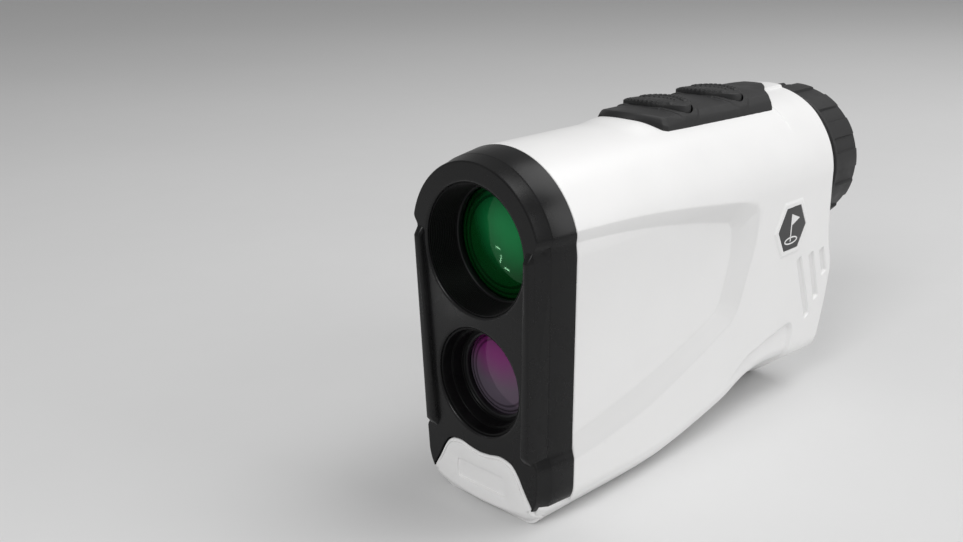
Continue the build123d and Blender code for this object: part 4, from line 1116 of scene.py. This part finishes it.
for side, name in ((1, "left"), (-1, "right")):
    piece(f"{name}_badge_plate", badge(side), PLATE, "housing", [f"{name}_badge"],
          crease=30)
    piece(f"{name}_badge_icon", flag_icon(side), PRINT, "housing", crease=30)

# --- floor, lights and camera --------------------------------------------------------------
floor_look = finish("studio_floor", grey(0.66), grey(0.70), (0.6, 0.75), patch=3, grain=60,
                    bump=0.02)
floor_mesh = bpy.data.meshes.new("studio_floor")
floor_mesh.from_pydata([(-9, -9, 0), (9, -9, 0), (9, 9, 0), (-9, 9, 0)], [], [(0, 1, 2, 3)])
floor_mesh.materials.append(floor_look)
floor = bpy.data.objects.new("studio_floor", floor_mesh)
floor.location.z = -0.00002
bpy.context.scene.collection.objects.link(floor)

world = bpy.data.worlds.new("studio")
world.use_nodes = True
world.node_tree.nodes["Background"].inputs["Color"].default_value = (1.0, 1.0, 1.0, 1)
world.node_tree.nodes["Background"].inputs["Strength"].default_value = 0.36
bpy.context.scene.world = world


def area_light(name, size, power):
    """Rectangular light, not placed yet."""
    data = bpy.data.lights.new(name, "AREA")
    data.shape = "RECTANGLE"
    data.size, data.size_y = size
    data.energy = power
    lamp = bpy.data.objects.new(name, data)
    bpy.context.scene.collection.objects.link(lamp)
    return lamp


def soft_light(name, place, target, size, power):
    """Large light that faces a target."""
    lamp = area_light(name, size, power)
    lamp.location = place
    lamp.rotation_euler = (Vector(target) - Vector(place)).to_track_quat("-Z", "Y").to_euler()


DOME = 0.077                                 # radius of the objective's front, in metres
GLINT_AWAY = 0.05                            # from the glass to a strip light, in metres


def glint(name, spot, degrees, size, power):
    """Small strip light that shows as one glint at a spot on the objective."""
    spot = Vector(row([spot])[0])
    normal = Vector((spot.x, -DOME, spot.z - AXIS * 0.001)).normalized()
    sight = (Vector(EYE) - spot).normalized()
    away = 2 * normal.dot(sight) * normal - sight
    lamp = area_light(name, size, power)
    facing = (-away).to_track_quat("-Z", "Y").to_matrix().to_4x4()
    lamp.matrix_world = (Matrix.Translation(spot + away * GLINT_AWAY) @ facing
                         @ Matrix.Rotation(radians(degrees), 4, "Z"))
    lamp.visible_camera = False


glint("glint_upper", (-0.9, 8.0, 55.2), 65, (0.0005, 0.0026), 0.00006)
glint("glint_middle", (-0.3, 8.0, 52.9), -25, (0.0005, 0.0038), 0.00009)
glint("glint_lower", (1.3, 8.0, 51.0), 55, (0.0006, 0.0030), 0.00009)

CORE = (0.0, 0.0, 0.04)
soft_light("overhead", (0.25, 0.45, 0.95), CORE, (0.7, 0.7), 4.7)
soft_light("right", (0.85, 0.45, 0.50), CORE, (0.6, 0.6), 3.2)
soft_light("front", (0.22, -0.72, 0.62), CORE, (0.35, 0.35), 3.0)

yaw, pitch, roll = radians(46.35), radians(17.87), radians(-1.91)
back = Vector((sin(yaw) * cos(pitch), -cos(yaw) * cos(pitch), sin(pitch)))
level = Vector((cos(yaw), sin(yaw), 0))
upright = back.cross(level)
right_axis = cos(roll) * level + sin(roll) * upright
up_axis = cos(roll) * upright - sin(roll) * level
lens_data = bpy.data.cameras.new("camera")
lens_data.sensor_width = 36.0
lens_data.lens = 39.1
lens_data.clip_start = 0.005
camera = bpy.data.objects.new("camera", lens_data)
turn = Matrix((right_axis, up_axis, back)).transposed().to_4x4()
camera.matrix_world = Matrix.Translation(EYE) @ turn
bpy.context.scene.collection.objects.link(camera)
bpy.context.scene.camera = camera
bpy.context.scene.view_settings.view_transform = "Standard"
